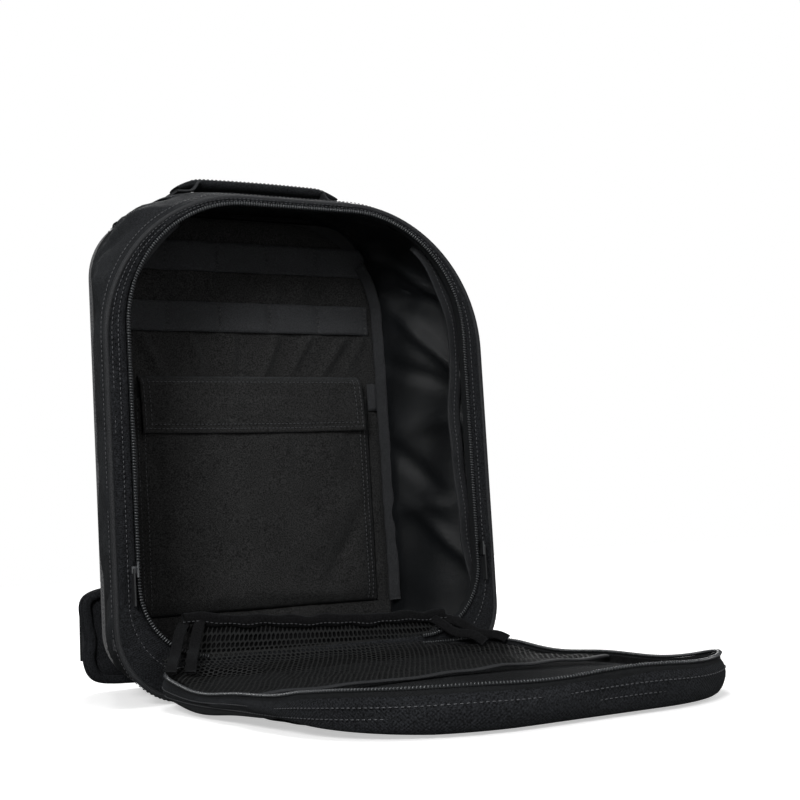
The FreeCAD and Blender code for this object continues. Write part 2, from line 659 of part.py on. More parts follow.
def strap_profile(sketch):
    """Two arcs with one centre and the straight ends between them, seen from the side."""
    half = val(STRAP_LENGTH) / 2
    bulge = val("strap_bulge")
    radius = (half ** 2 + bulge ** 2) / (2 * bulge)
    face = val(STRAP_FACE)
    middle = val(STRAP_TOP) - half
    centre = FreeCAD.Vector(face + bulge - radius, middle, 0)
    spread = math.asin(half / radius)
    normal = FreeCAD.Vector(0, 0, 1)
    outer = radius + val("strap_thickness")
    inner_arc = Part.ArcOfCircle(Part.Circle(centre, normal, radius), -spread, spread)
    outer_arc = Part.ArcOfCircle(Part.Circle(centre, normal, outer), -spread, spread)
    ends = []
    for angle in (-spread, spread):
        ray = FreeCAD.Vector(math.cos(angle), math.sin(angle), 0)
        ends.append(Part.LineSegment(centre + ray * radius, centre + ray * outer))
    for shape in (inner_arc, outer_arc, *ends):
        sketch.addGeometry(shape, False)
    for first, start, second, end in ((0, 1, 2, 1), (1, 1, 2, 2), (0, 2, 3, 1), (1, 2, 3, 2)):
        sketch.addConstraint(Sketcher.Constraint("Coincident", first, start, second, end))
    sketch.addConstraint(Sketcher.Constraint("Coincident", 0, 3, 1, 3))
    sketch.addConstraint(Sketcher.Constraint("PointOnObject", 0, 3, 2))
    sketch.addConstraint(Sketcher.Constraint("PointOnObject", 0, 3, 3))
    dimension(sketch, "face", STRAP_FACE, "DistanceX", -1, 1, 0, 2)
    dimension(sketch, "top", STRAP_TOP, "DistanceY", -1, 1, 0, 2)
    dimension(sketch, "length", STRAP_LENGTH, "DistanceY", 0, 1, 0, 2)
    dimension(sketch, "thickness", "strap_thickness", "Distance", 2, 1, 2, 2)
    sketch.addConstraint(Sketcher.Constraint("Vertical", 0, 1, 0, 2))
    formula = "( ( %s / 2 ) ^ 2 + strap_bulge ^ 2 ) / ( 2 * strap_bulge )" % STRAP_LENGTH
    dimension(sketch, "bend", formula, "Radius", 0)


def shoulder_strap(name, side):
    """Padded strap that bows away from the back."""
    body = new_body(name)
    offset = "%d * strap_spacing / 2 - strap_width / 2" % side
    sketch = new_sketch(body, "YZ_Plane", offset, name + "_profile")
    strap_profile(sketch)
    pad(body, sketch, "strap_width", name + "_pad")
    return name


def ladder_lock(name, side):
    """Plastic adjuster under the strap's end, with two slots for the webbing."""
    middle = "%d * strap_spacing / 2" % side
    frame = block(name + "_frame", "%s - lock_width / 2" % middle, "%s + lock_width / 2" % middle,
                  STRAP_FACE, "%s + lock_thickness" % STRAP_FACE, "%s - lock_height" % LOCK_TOP, LOCK_TOP)
    half = "strap_webbing_width / 2 + gap"
    cuts = []
    for index in (1, 3):
        low = "%s - lock_height * %d / 5" % (LOCK_TOP, index + 1)
        cuts.append(block("%s_slot_%d" % (name, index), "%s - ( %s )" % (middle, half),
                          "%s + %s" % (middle, half), "%s - lock_thickness" % STRAP_FACE,
                          "%s + 2 * lock_thickness" % STRAP_FACE, low, "%s + lock_height / 6" % low))
    boolean("Part::Cut", name, frame, boolean("Part::MultiFuse", name + "_slots", *cuts))
    return name


def strap_tail(name, side):
    """Webbing from the adjuster down to the pack's lower corner."""
    middle = "%d * strap_spacing / 2" % side
    low = "%s - strap_webbing_width / 2" % middle
    high = "%s + strap_webbing_width / 2" % middle
    outside = "%s + tail_thickness" % STRAP_FACE
    drop = block(name + "_drop", low, high, STRAP_FACE, outside, TAIL_FOOT,
                 "%s - lock_height - gap" % LOCK_TOP)
    root = block(name + "_root", low, high, CARRY_FACE, outside, TAIL_FOOT,
                 "%s + tail_thickness" % TAIL_FOOT)
    boolean("Part::MultiFuse", name, drop, root)
    return name


# ------------------------------------------------------------------ waist belt
def lumbar_pad():
    """Firm pad at the foot of the back, which carries the belt."""
    soft_block("lumbar_pad", "- lumbar_width / 2", "lumbar_width / 2", CARRY_FACE, LUMBAR_FACE,
               "lumbar_foot", "lumbar_foot + lumbar_height", "4")
    return "lumbar_pad"


def waist_wing(name, side):
    """Padded belt wing, hinged at the lumbar pad's edge."""
    near = "%d * ( lumbar_width / 2 + gap )" % side
    far = "%d * ( lumbar_width / 2 + gap + wing_length )" % side
    low, high = (near, far) if side > 0 else (far, near)
    soft_block(name, low, high, "%s - wing_thickness" % LUMBAR_FACE, LUMBAR_FACE, "lumbar_foot",
               "lumbar_foot + lumbar_height", "wing_thickness / 3")
    return name


BELT_MIDDLE = "( lumbar_foot + lumbar_height / 2 )"


def belt_webbing(name, side):
    """Webbing sewn along the outside of a wing."""
    near = "%d * ( lumbar_width / 2 + gap + wing_length - belt_length - wing_thickness / 3 )" % side
    far = "%d * ( lumbar_width / 2 + gap + wing_length - wing_thickness / 3 )" % side
    low, high = (near, far) if side > 0 else (far, near)
    block(name, low, high, "%s + gap" % LUMBAR_FACE, "%s + gap + tail_thickness" % LUMBAR_FACE,
          "%s - belt_width / 2" % BELT_MIDDLE, "%s + belt_width / 2" % BELT_MIDDLE)
    return name


def buckle_male(name, tip, rear, middle, width):
    """Insert half of a side-release buckle: a block with two prongs towards +X from tip."""
    core = block(name + "_core", "%s - buckle_length / 2" % tip, tip, rear,
                 "%s + buckle_thickness" % rear, "%s - %s / 2" % (middle, width),
                 "%s + %s / 2" % (middle, width))
    prongs = []
    centre = "( %s + buckle_thickness / 2 )" % rear
    for index in (-1, 1):
        line = "( %s + %d * %s / 4 )" % (middle, index, width)
        prongs.append(block("%s_prong_%d" % (name, index + 1), "%s - gap" % tip,
                            "%s + prong_length" % tip, "%s - prong_thickness / 2" % centre,
                            "%s + prong_thickness / 2" % centre, "%s - prong_width / 2" % line,
                            "%s + prong_width / 2" % line))
    boolean("Part::MultiFuse", name, core, *prongs)
    return name


def buckle_female(name, mouth, rear, middle, width):
    """Socket half of a side-release buckle, its mouth towards -X."""
    core = block(name + "_core", mouth, "%s + buckle_length / 2 + prong_length / 2" % mouth, rear,
                 "%s + buckle_thickness" % rear, "%s - %s / 2" % (middle, width),
                 "%s + %s / 2" % (middle, width))
    centre = "( %s + buckle_thickness / 2 )" % rear
    sockets = []
    for index in (-1, 1):
        line = "( %s + %d * %s / 4 )" % (middle, index, width)
        sockets.append(block("%s_socket_%d" % (name, index + 1), "%s - gap" % mouth,
                             "%s + prong_length + 2 * socket_play" % mouth,
                             "%s - prong_thickness / 2 - socket_play" % centre,
                             "%s + prong_thickness / 2 + socket_play" % centre,
                             "%s - prong_width / 2 - socket_play" % line,
                             "%s + prong_width / 2 + socket_play" % line))
    boolean("Part::Cut", name, core, boolean("Part::MultiFuse", name + "_sockets", *sockets))
    return name


# ------------------------------------------------------------------ chest strap
CHEST_FACE = "( %s + strap_bulge + strap_thickness + gap )" % STRAP_FACE
CHEST_MIDDLE = "( strap_foot + %s / 2 )" % STRAP_LENGTH
CHEST_FAR = "( strap_spacing / 2 + strap_width / 4 )"


def chest_webbing(name, low, high):
    """Webbing of the chest strap on the outside of a shoulder strap."""
    block(name, low, high, CHEST_FACE, "%s + tail_thickness" % CHEST_FACE,
          "%s - chest_webbing / 2" % CHEST_MIDDLE, "%s + chest_webbing / 2" % CHEST_MIDDLE)
    return name


# ------------------------------------------------------------------ assembly
def fold_down(names):
    """Lay the front panel's pieces on the floor: a quarter turn about the hinge line.

    The turn takes (x, y, z) to (x, hinge y + hinge z - z, hinge z - hinge y + y).
    """
    quarter = FreeCAD.Rotation(FreeCAD.Vector(1, 0, 0), 90)
    for name in names:
        item = doc.getObject(name)
        closed = {axis: "0" for axis in "xyz"}
        for where, text in item.ExpressionEngine:
            if where.startswith("Placement.Base.") or where.startswith(".Placement.Base."):
                closed[where[-1]] = text
        rotation = quarter.multiply(item.Placement.Rotation)
        item.Placement = FreeCAD.Placement(item.Placement.Base, rotation)
        item.setExpression("Placement.Base.x", closed["x"])
        item.setExpression("Placement.Base.y", ex("%s + hinge_height" % HINGE_Y) + " - ( %s )" % closed["z"])
        item.setExpression("Placement.Base.z", ex("hinge_height - %s" % HINGE_Y) + " + ( %s )" % closed["y"])
    return names


def build():
    """Make every piece and return the names of those that are written out."""
    fixed = [
        gusset_shell(), front_border(), back_panel(),
        stack_plate("back_foam", FOAM_FRONT, "foam_thickness"),
        stack_plate("frame_sheet", SHEET_FRONT, "sheet_thickness"), divider_panel(),
        divider_binding("divider_binding_left", -1), divider_binding("divider_binding_right", 1),
        webbing_row("webbing_row_lower", LOWER_ROW), webbing_row("webbing_row_upper", UPPER_ROW),
        inner_pocket(), pocket_lid(), pocket_tab("pocket_tab_left", -1), pocket_tab("pocket_tab_right", 1),
        hinge_binding(),
        zip_tape("pack_zip_tape", "( coil_lift - coil_radius )", "tape_width", "hinge_height"),
        zip_coil("pack_zip_coil", "coil_lift", "hinge_height"),
        grab_handle(), handle_anchor("handle_anchor_left", -1), handle_anchor("handle_anchor_right", 1),
        back_pad(), shoulder_yoke(), lumbar_pad(),
    ]
    for side_name, side in (("left", -1), ("right", 1)):
        fixed.append(shoulder_strap("shoulder_strap_" + side_name, side))
        fixed.append(ladder_lock("ladder_lock_" + side_name, side))
        fixed.append(strap_tail("strap_tail_" + side_name, side))
        fixed.append(waist_wing("waist_wing_" + side_name, side))
        fixed.append(belt_webbing("belt_webbing_" + side_name, side))
        fixed += main_slider(side_name, side)
    belt_rear = "( %s + 2 * gap + tail_thickness )" % LUMBAR_FACE
    belt_place = "( lumbar_width / 2 + wing_length / 2 )"
    fixed += [
        buckle_male("waist_buckle_insert", "( - %s )" % belt_place, belt_rear, BELT_MIDDLE, "buckle_width"),
        buckle_female("waist_buckle_socket", belt_place, belt_rear, BELT_MIDDLE, "buckle_width"),
        chest_webbing("chest_webbing_left", "- %s" % CHEST_FAR,
                      "( - gap - buckle_length / 2 - prong_length / 2 )"),
        chest_webbing("chest_webbing_right", "( gap + buckle_length / 2 )", CHEST_FAR),
    ]
    fixed += [
        buckle_male("chest_buckle_insert", "( - gap - prong_length / 2 )", CHEST_FACE, CHEST_MIDDLE,
                    "chest_buckle_width"),
        buckle_female("chest_buckle_socket", "( - prong_length / 2 )", CHEST_FACE, CHEST_MIDDLE,
                      "chest_buckle_width"),
    ]
    folding = [
        panel_shell(), outer_pocket(), pocket_zip_tape(), pocket_zip_coil(), mesh_pocket(), mesh_binding(),
        zip_tape("panel_zip_tape", "( %s + coil_radius + tape_width - 2 * coil_radius )" % PANEL_COIL,
                 "tape_width - 2 * coil_radius", PANEL_FOOT),
        zip_coil("panel_zip_coil", PANEL_COIL, PANEL_FOOT), *pocket_slider(),
    ]
    doc.recompute()
    return fixed, folding


fixed_names, folding_names = build()
fold_down(folding_names)
doc.recompute()
for item in doc.Objects:
    if "Invalid" in item.State or "Error" in item.State:
        raise RuntimeError("%s failed: %s" % (item.Label, item.State))

os.makedirs("parts", exist_ok=True)
for name in fixed_names + folding_names:
    item = doc.getObjectsByLabel(name)[0]
    if item.Shape.isNull() or not item.Shape.isValid():
        raise RuntimeError("%s has no valid shape" % name)
for name in fixed_names + folding_names:
    doc.getObjectsByLabel(name)[0].Shape.exportStep("parts/%s.step" % name)
print("%d pieces written" % len(fixed_names + folding_names))
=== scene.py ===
"""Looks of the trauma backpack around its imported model, laid out as an add-on.

Shapes are worked out in millimetres: +Z up, the opening faces -Y, +X to the viewer's right.
"""

import math

import bpy
import numpy as np
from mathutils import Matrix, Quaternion, Vector


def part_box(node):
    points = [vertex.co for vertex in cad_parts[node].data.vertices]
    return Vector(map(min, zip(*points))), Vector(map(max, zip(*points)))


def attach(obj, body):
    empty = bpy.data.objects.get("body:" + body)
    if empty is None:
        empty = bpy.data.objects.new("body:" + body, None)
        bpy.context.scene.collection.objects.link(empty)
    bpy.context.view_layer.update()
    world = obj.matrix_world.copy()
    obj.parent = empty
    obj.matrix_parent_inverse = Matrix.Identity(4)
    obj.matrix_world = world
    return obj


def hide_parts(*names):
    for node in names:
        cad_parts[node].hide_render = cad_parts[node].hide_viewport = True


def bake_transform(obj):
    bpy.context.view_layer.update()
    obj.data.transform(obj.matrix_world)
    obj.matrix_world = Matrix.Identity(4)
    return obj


bl_info = {
    "name": "Trauma Backpack Looks",
    "version": (1, 0, 0),
    "blender": (4, 5, 0),
    "location": "View3D > Sidebar > Backpack",
    "description": "Cloth shell, zips, net, padding and stage of a fold-down trauma backpack",
    "category": "Add Mesh",
}

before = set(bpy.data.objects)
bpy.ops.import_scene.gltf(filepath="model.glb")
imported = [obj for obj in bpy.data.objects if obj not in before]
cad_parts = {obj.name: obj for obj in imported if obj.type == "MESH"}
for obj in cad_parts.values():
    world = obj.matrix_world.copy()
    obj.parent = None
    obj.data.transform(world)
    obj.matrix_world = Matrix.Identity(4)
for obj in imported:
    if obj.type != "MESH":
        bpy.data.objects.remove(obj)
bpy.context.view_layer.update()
MM = 0.001
FINISHES = {}
# a wave texture at scale 1 repeats every pi / 10 of its coordinate
WAVE_SCALE = 0.314159
UP, DOWN, FRONT, BACK = (0, 0, 1), (0, 0, -1), (0, -1, 0), (0, 1, 0)


# ------------------------------------------------------------------ sizes and colours
def length(name, default, description):
    """A size in metres with its name and default."""
    return bpy.props.FloatProperty(name=name, default=default, description=description,
                                   unit="LENGTH", min=0.0, precision=5)


def colour(name, default, description):
    """A colour held as an sRGB hex value."""
    return bpy.props.StringProperty(name=name, default=default, description=description)


class BackpackSizes(bpy.types.PropertyGroup):
    """Sizes of the sewn details."""

    piping: length("Piping radius", 0.0021, "Corded welt on the outline of the body")
    stitch_pitch: length("Stitch pitch", 0.0036, "From one stitch to the next")
    stitch_long: length("Stitch length", 0.0024, "Length of one stitch")
    stitch_thick: length("Thread thickness", 0.0007, "Width of the sewing thread")
    tooth_pitch: length("Coil pitch", 0.0021, "From one turn of the zip coil to the next")
    tooth_long: length("Coil turn length", 0.0036, "Length of a turn across the chain")
    net_pitch: length("Net pitch", 0.0043, "From one hole of the net to the next")
    net_yarn: length("Net yarn", 0.0011, "Width of the net's yarn")
    cloth_pitch: length("Cloth thread pitch", 0.0016, "Repeat of the body cloth's weave")
    swell: length("Padding swell", 0.006, "How far foam may push its cover out")


class BackpackColours(bpy.types.PropertyGroup):
    """Colours of the finishes."""

    cloth: colour("Body cloth", "#17181A", "Woven nylon of the body")
    panel: colour("Inner cloth", "#202020", "Woven nylon of the inner panels")
    webbing: colour("Webbing", "#292A2C", "Woven nylon webbing")
    binding: colour("Binding", "#1C1D1F", "Grosgrain binding tape")
    liner: colour("Liner", "#0B0D0F", "Coated back of the shell cloth")
    # this near black is partly painted shade: it darkens the fin, its cloth, the net's side bindings and the
    # panel's lining to stand for the deep shade under the fin and behind the net
    lining: colour("Thin lining", "#0A0A0B", "Thin lining behind the net")
    net: colour("Net", "#141515", "Knitted net")
    coil: colour("Coil", "#303234", "Zip coil")
    tape: colour("Zip tape", "#151617", "Zip tape")
    thread: colour("Thread", "#3C3D40", "Sewing thread")
    metal: colour("Slider", "#77797B", "Plated zinc of sliders and pulls")
    plastic: colour("Buckles", "#202122", "Moulded acetal")
    spacer: colour("Spacer mesh", "#262729", "Knitted cover of the padding")


def sizes():
    """The sizes of this scene."""
    return bpy.context.scene.backpack_sizes


def linear(text):
    """Linear RGBA of an sRGB hex value: v / 12.92 below 0.04045, else ((v + 0.055) / 1.055) ^ 2.4."""
    values = np.array([int(text[i:i + 2], 16) for i in (1, 3, 5)]) / 255
    out = np.where(values <= 0.04045, values / 12.92, ((values + 0.055) / 1.055) ** 2.4)
    return (*out.tolist(), 1.0)


# ------------------------------------------------------------------ finishes
def add(finish, kind, links=None, inputs=None, **settings):
    """Add one node: settings go on it, inputs on its sockets, and links bring outputs to it."""
    item = finish.node_tree.nodes.new("ShaderNode" + kind)
    for key, value in settings.items():
        setattr(item, key, value)
    for key, value in (inputs or {}).items():
        item.inputs[key].default_value = value
    for key, output in (links or {}).items():
        finish.node_tree.links.new(output, item.inputs[key])
    return item


def new_finish(name):
    """A material, its Principled shader and its Object coordinates."""
    finish = bpy.data.materials.new(name)
    finish.use_nodes = True
    return finish, finish.node_tree.nodes["Principled BSDF"], add(finish, "TexCoord")


def tinted(finish, hue, share, low, high):
    """A colour between low and high times the sRGB hue, by a share."""
    base = linear(hue)
    tone = add(finish, "Mix", {"Factor": share}, data_type="RGBA")
    tone.inputs["A"].default_value = [c * low for c in base[:3]] + [1.0]
    tone.inputs["B"].default_value = [c * high for c in base[:3]] + [1.0]
    return tone.outputs["Result"]


def joined(finish, shader, colour_out, height, strength, distance):
    """Link the base colour, and a height as the bump of the normal."""
    relief = add(finish, "Bump", {"Height": height}, {"Strength": strength, "Distance": distance})
    finish.node_tree.links.new(colour_out, shader.inputs["Base Color"])
    finish.node_tree.links.new(relief.outputs[0], shader.inputs["Normal"])


def cloth_finish(name, hue, pitch, ribs=(1.0, 1.0), rough=0.85, sheen=0.02, spread=0.3,
                 bump=0.5, on_uv=True, gloss=0.09, grain=0.8):
    """Woven nylon: warp and weft waves of one pitch, yarn grains, and worn lighter patches.

    The height is 3 * (warp - 0.5) * (weft - 0.5) + yarn, a knuckle over every other crossing,
    and grains of single yarns about 1.3 mm long are lighter or darker by their share.
    """
    finish, shader, place = new_finish(name)
    where = place.outputs["UV" if on_uv else "Object"]
    solid = place.outputs["Object"]
    scale = WAVE_SCALE / pitch
    bend = {"Distortion": 0.6, "Detail": 1.0, "Detail Scale": 2.0}
    warp = add(finish, "TexWave", {"Vector": where}, {"Scale": scale * ribs[0], **bend},
               bands_direction="X")
    weft = add(finish, "TexWave", {"Vector": where}, {"Scale": scale * ribs[1], **bend},
               bands_direction="Y" if on_uv else "Z")
    warp_low = add(finish, "Math", {0: warp.outputs["Fac"]}, {1: 0.5}, operation="SUBTRACT")
    weft_low = add(finish, "Math", {0: weft.outputs["Fac"]}, {1: 0.5}, operation="SUBTRACT")
    knuckle = add(finish, "Math", {0: warp_low.outputs[0], 1: weft_low.outputs[0]}, operation="MULTIPLY")
    yarn = add(finish, "TexNoise", {"Vector": solid}, {"Scale": 900.0, "Detail": 1.0, "Roughness": 0.5})
    wear = add(finish, "TexNoise", {"Vector": solid}, {"Scale": 24.0, "Detail": 6.0, "Roughness": 0.62})
    height = add(finish, "Math", {0: knuckle.outputs[0], 2: yarn.outputs["Fac"]}, {1: 3.0},
                 operation="MULTIPLY_ADD")
    tone = tinted(finish, hue, wear.outputs["Fac"], 1 - spread, 1 + spread * 1.6)
    fleck = add(finish, "MapRange", {"Value": yarn.outputs["Fac"]},
                {"From Min": 0.28, "From Max": 0.72, "To Min": 1 - grain, "To Max": 1 + grain * 1.2})
    dyed = add(finish, "Mix", {"A": tone, "B": fleck.outputs[0]}, {"Factor": 1.0},
               data_type="RGBA", blend_type="MULTIPLY")
    joined(finish, shader, dyed.outputs["Result"], height.outputs[0], bump, 0.0007)
    shader.inputs["Roughness"].default_value = rough
    shader.inputs["Specular IOR Level"].default_value = gloss
    shader.inputs["IOR"].default_value = 1.53
    shader.inputs["Sheen Weight"].default_value = sheen
    shader.inputs["Sheen Roughness"].default_value = 0.45
    shader.inputs["Sheen Tint"].default_value = (0.8, 0.87, 0.92, 1.0)
    return finish


def smooth_finish(name, hue, rough, grain, metallic=0.0, ior=1.5, bump=0.1):
    """Moulded, drawn or plated surface: one colour with slight mottling and fine grain."""
    finish, shader, place = new_finish(name)
    solid = place.outputs["Object"]
    mottle = add(finish, "TexNoise", {"Vector": solid}, {"Scale": 120.0, "Detail": 4.0})
    fine = add(finish, "TexNoise", {"Vector": solid}, {"Scale": 1.0 / (grain * MM), "Detail": 3.0})
    tone = tinted(finish, hue, mottle.outputs["Fac"], 0.8, 1.2)
    worn = add(finish, "MapRange", {"Value": mottle.outputs["Fac"]},
               {"From Min": 0.3, "From Max": 0.7, "To Min": rough * 0.8, "To Max": min(1.0, rough * 1.2)})
    joined(finish, shader, tone, fine.outputs["Fac"], bump, 0.0004)
    finish.node_tree.links.new(worn.outputs[0], shader.inputs["Roughness"])
    shader.inputs["Metallic"].default_value = metallic
    if metallic == 0:
        shader.inputs["IOR"].default_value = ior
    return finish


def spacer_finish(name, hue):
    """Knitted spacer mesh: round holes 2.4 mm apart, drawn by distance to Voronoi points, their colour
    darkened inside as painted shade and lightened on the knit between.
    """
    finish, shader, place = new_finish(name)
    solid = place.outputs["Object"]
    cells = add(finish, "TexVoronoi", {"Vector": solid}, {"Scale": 1 / 0.0024, "Randomness": 0.35})
    wear = add(finish, "TexNoise", {"Vector": solid}, {"Scale": 30.0, "Detail": 5.0})
    # painted shade: the colour falls to a quarter in each hole and rises by a third on the knit between
    hole = add(finish, "MapRange", {"Value": cells.outputs["Distance"]},
               {"From Min": 0.15, "From Max": 0.5, "To Min": 0.25, "To Max": 1.35})
    tone = tinted(finish, hue, wear.outputs["Fac"], 0.7, 1.4)
    knit_with_shaded_holes = add(finish, "Mix", {"A": tone, "B": hole.outputs[0]}, {"Factor": 1.0},
               data_type="RGBA", blend_type="MULTIPLY")
    joined(finish, shader, knit_with_shaded_holes.outputs["Result"], hole.outputs[0], 0.5, 0.0008)
    shader.inputs["Roughness"].default_value = 0.85
    shader.inputs["Sheen Weight"].default_value = 0.2
    return finish


def make_finishes():
    """Make every finish of the backpack once."""
    hue = bpy.context.scene.backpack_colours
    size = sizes()
    # Nylon pack cloth, woven from air-textured yarn: a dull, slightly hairy, grainy face
    FINISHES["cloth"] = cloth_finish("nylon_pack_cloth_woven", hue.cloth, size.cloth_pitch)
    # The same cloth on shapes that carry no thread map, so its waves follow X and Z
    FINISHES["cloth_pad"] = cloth_finish("nylon_pack_cloth_padded", hue.cloth, size.cloth_pitch,
                                         on_uv=False)
    # Lighter oxford weave of the inner panels: finer yarn, softer sheen
    FINISHES["panel"] = cloth_finish("nylon_oxford_woven", hue.panel, 0.0014, sheen=0.05, gloss=0.14)
    # Flat nylon webbing: strong ribs across the run every 1.2 mm, a satin face
    FINISHES["webbing"] = cloth_finish("nylon_webbing_woven", hue.webbing, 0.0024, ribs=(2.0, 1.0),
                                       rough=0.6, bump=0.6, gloss=0.25, grain=0.35)
    # Grosgrain tape: crosswise ribs about 1 mm, folded over raw edges
    FINISHES["binding"] = cloth_finish("nylon_grosgrain_folded", hue.binding, 0.0022, ribs=(2.0, 0.7),
                                       rough=0.6, bump=0.5, gloss=0.25, grain=0.35)
    # Zip tape: narrow knitted polyester, fine lengthwise ribs
    FINISHES["tape"] = cloth_finish("polyester_zip_tape_knitted", hue.tape, 0.0016, ribs=(1.0, 1.5),
                                    rough=0.7, bump=0.4, grain=0.3)
    # Coated back of the cloth: a thin film over the weave, so it shines softly in its folds
    FINISHES["liner"] = cloth_finish("polyurethane_coating_rolled", hue.liner, 0.0012, rough=0.42,
                                     sheen=0.0, bump=0.4, gloss=0.38, spread=0.5, grain=0.5)
    # Thin lining behind the net, the same dull weave in near black; the near black is partly painted shade,
    # and on the fin, its cloth and the net's side bindings it stands for the deep shade in the hollow under
    # the fin
    FINISHES["black_and_painted_shade"] = cloth_finish("nylon_lining_in_painted_shade", hue.lining, 0.0012, sheen=0.02, gloss=0.08)
    # Net knitted from round polyester yarn, which catches light on each strand
    FINISHES["net"] = smooth_finish("polyester_net_knitted", hue.net, 0.75, 0.4, bump=0.2, ior=1.35)
    # Zip coil: extruded polyester monofilament, smooth with a small highlight per turn
    FINISHES["coil"] = smooth_finish("polyester_coil_extruded", hue.coil, 0.28, 0.5, ior=1.57, bump=0.03)
    # Bonded nylon thread: waxed, so each stitch has a small bright back
    FINISHES["thread"] = smooth_finish("nylon_thread_bonded", hue.thread, 0.5, 0.3, ior=1.53)
    # Zinc die casting with a nickel-like plating: bright, with soft scratches
    FINISHES["metal"] = smooth_finish("zinc_die_cast_plated", hue.metal, 0.3, 0.8, metallic=1.0,
                                      bump=0.05)
    # Acetal: injection moulded, dense and waxy, fine spark-eroded texture
    FINISHES["plastic"] = smooth_finish("acetal_moulded", hue.plastic, 0.42, 0.25, ior=1.48, bump=0.15)
    # Warp-knitted spacer mesh on the padding: rows of small holes, darkened in colour as painted shade
    # inside them
    FINISHES["spacer"] = spacer_finish("polyester_spacer_mesh_knitted", hue.spacer)


# ------------------------------------------------------------------ making meshes
def span(node):
    """Lowest and highest corner of a CAD node in millimetres."""
    low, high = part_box(node)
    return np.array(low) / MM, np.array(high) / MM


def unit(vectors):
    """Vectors divided by their lengths."""
    return vectors / np.maximum(np.linalg.norm(vectors, axis=-1, keepdims=True), 1e-9)


def piece(name, points, faces, finish, body, slot=None, uv=None, replaces=None):
    """Make an object from points in millimetres and faces, and let it ride on a body."""
    mesh = bpy.data.meshes.new(name)
    mesh.from_pydata((np.asarray(points, float) * MM).tolist(), [], [list(f) for f in faces])
    if uv is not None:
        layer = mesh.uv_layers.new(name="thread_map")
        layer.data.foreach_set("uv", (np.asarray(uv, float) * MM).ravel())
    mesh.polygons.foreach_set("use_smooth", np.full(len(mesh.polygons), True))
    mesh.materials.append(FINISHES[finish])
    item = bpy.data.objects.new(name, mesh)
    bpy.context.scene.collection.objects.link(item)
    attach(item, body)
    if replaces:
        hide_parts(replaces)
    return item


def distances(points):
    """Distance along a row of points at each of them, from 0."""
    return np.concatenate([[0.0], np.cumsum(np.linalg.norm(np.diff(points, axis=0), axis=1))])


def round_run(outline):
    """Distance round a closed outline at each of its points, from 0."""
    return distances(np.concatenate([outline, outline[:1]]))[:-1]


def xyz(x, y, z):
    """Points from three coordinates, numbers or arrays that broadcast together."""
    return np.stack(np.broadcast_arrays(x, y, z), -1).astype(float)


def crossed(quad):
    """Normals of quads, from their diagonals."""
    return np.cross(quad[:, 2] - quad[:, 0], quad[:, 3] - quad[:, 1])


def grid_faces(grid, wrap=(False, False), flip=False):
    """Quads of a grid of points, and their thread map from the mean arc lengths both ways."""
    rows, cols = grid.shape[:2]
    i, j = np.indices((rows - (not wrap[0]), cols - (not wrap[1])))
    i, j = i.ravel(), j.ravel()
    at_i = np.stack([i, i, i + 1, i + 1], 1)
    at_j = np.stack([j, j + 1, j + 1, j], 1)
    if flip:
        at_i, at_j = at_i[:, ::-1], at_j[:, ::-1]
    along, across = [
        np.concatenate([[0.0], np.cumsum(
            np.linalg.norm(np.roll(grid, -1, axis) - grid, axis=2).mean(1 - axis))])
        for axis in (1, 0)]
    uv = np.stack([along[at_j], across[at_i]], 2).reshape(-1, 2)
    return (at_i % rows) * cols + at_j % cols, uv


def end_faces(rows, cols, flip):
    """The first and last row of a grid as two closing faces."""
    first, last = list(range(cols)), list(range((rows - 1) * cols, rows * cols))
    return [first[::-1], last] if flip else [first, last[::-1]]


def skin(name, grid, finish, body, towards=None, away=None, ring=False, thick=0.0,
         cap=False, offset=-1.0, pole=None, **more):
    """Surface on a grid of points, turned to face a direction or away from a point.

    A ring joins each row's ends. A cap closes both end rows, and a pole (0 or -1) closes one,
    which has shrunk to a point.
    """
    rows, cols = grid.shape[:2]
    faces, uv = grid_faces(grid, (False, ring))
    flat = grid.reshape(-1, 3)
    quad = flat[faces]
    if towards is not None:
        score = (crossed(quad) @ np.array(towards, float)).sum()
    else:
        centre = flat.mean(0) if away is None else np.array(away, float)
        score = np.einsum("ij,ij->", crossed(quad), quad.mean(1) - centre)
    flip = bool(score < 0)
    if flip:
        faces, uv = grid_faces(grid, (False, ring), flip)
    listed = faces.tolist()
    if cap:
        listed += end_faces(rows, cols, flip)
        edge = np.stack([np.zeros(cols), np.arange(cols) * 1.0], 1)
        uv = np.concatenate([uv, edge, edge])
    if pole is not None:
        centre = grid[pole].mean(0)
        flat = np.concatenate([flat, centre[None]])
        k = np.arange(cols)
        row = (rows - 1) * cols if pole else 0
        fan = np.stack([row + k, row + (k + 1) % cols, 0 * k + rows * cols], 1)
        if flip != (pole == 0):
            fan = fan[:, ::-1]
        listed += fan.tolist()
        uv = np.concatenate([uv, (flat[fan] - centre)[..., [0, 2]].reshape(-1, 2)])
    item = piece(name, flat, listed, finish, body, uv=uv, **more)
    if thick:
        wall = item.modifiers.new("cloth_thickness", "SOLIDIFY")
        wall.thickness = thick * MM
        wall.offset = offset
    return item


def frames(path, up, closed=False):
    """Tangent, side and top directions of a path, the top as near to up as it can be."""
    if closed:
        tangent = unit(np.roll(path, -1, 0) - np.roll(path, 1, 0))
    else:
        tangent = unit(np.gradient(path, axis=0))
    side = unit(np.cross(tangent, np.broadcast_to(np.asarray(up, float), path.shape)))
    return tangent, side, unit(np.cross(side, tangent))


def sweep(path, profile, up, closed=False):
    """Grid of a profile carried along a path: path + a * side + b * top for each (a, b)."""
    _, side, top = frames(path, up, closed)
    profile = np.broadcast_to(profile, (len(path), *np.shape(profile)[-2:]))
    return path[:, None] + profile[..., :1] * side[:, None] + profile[..., 1:] * top[:, None]


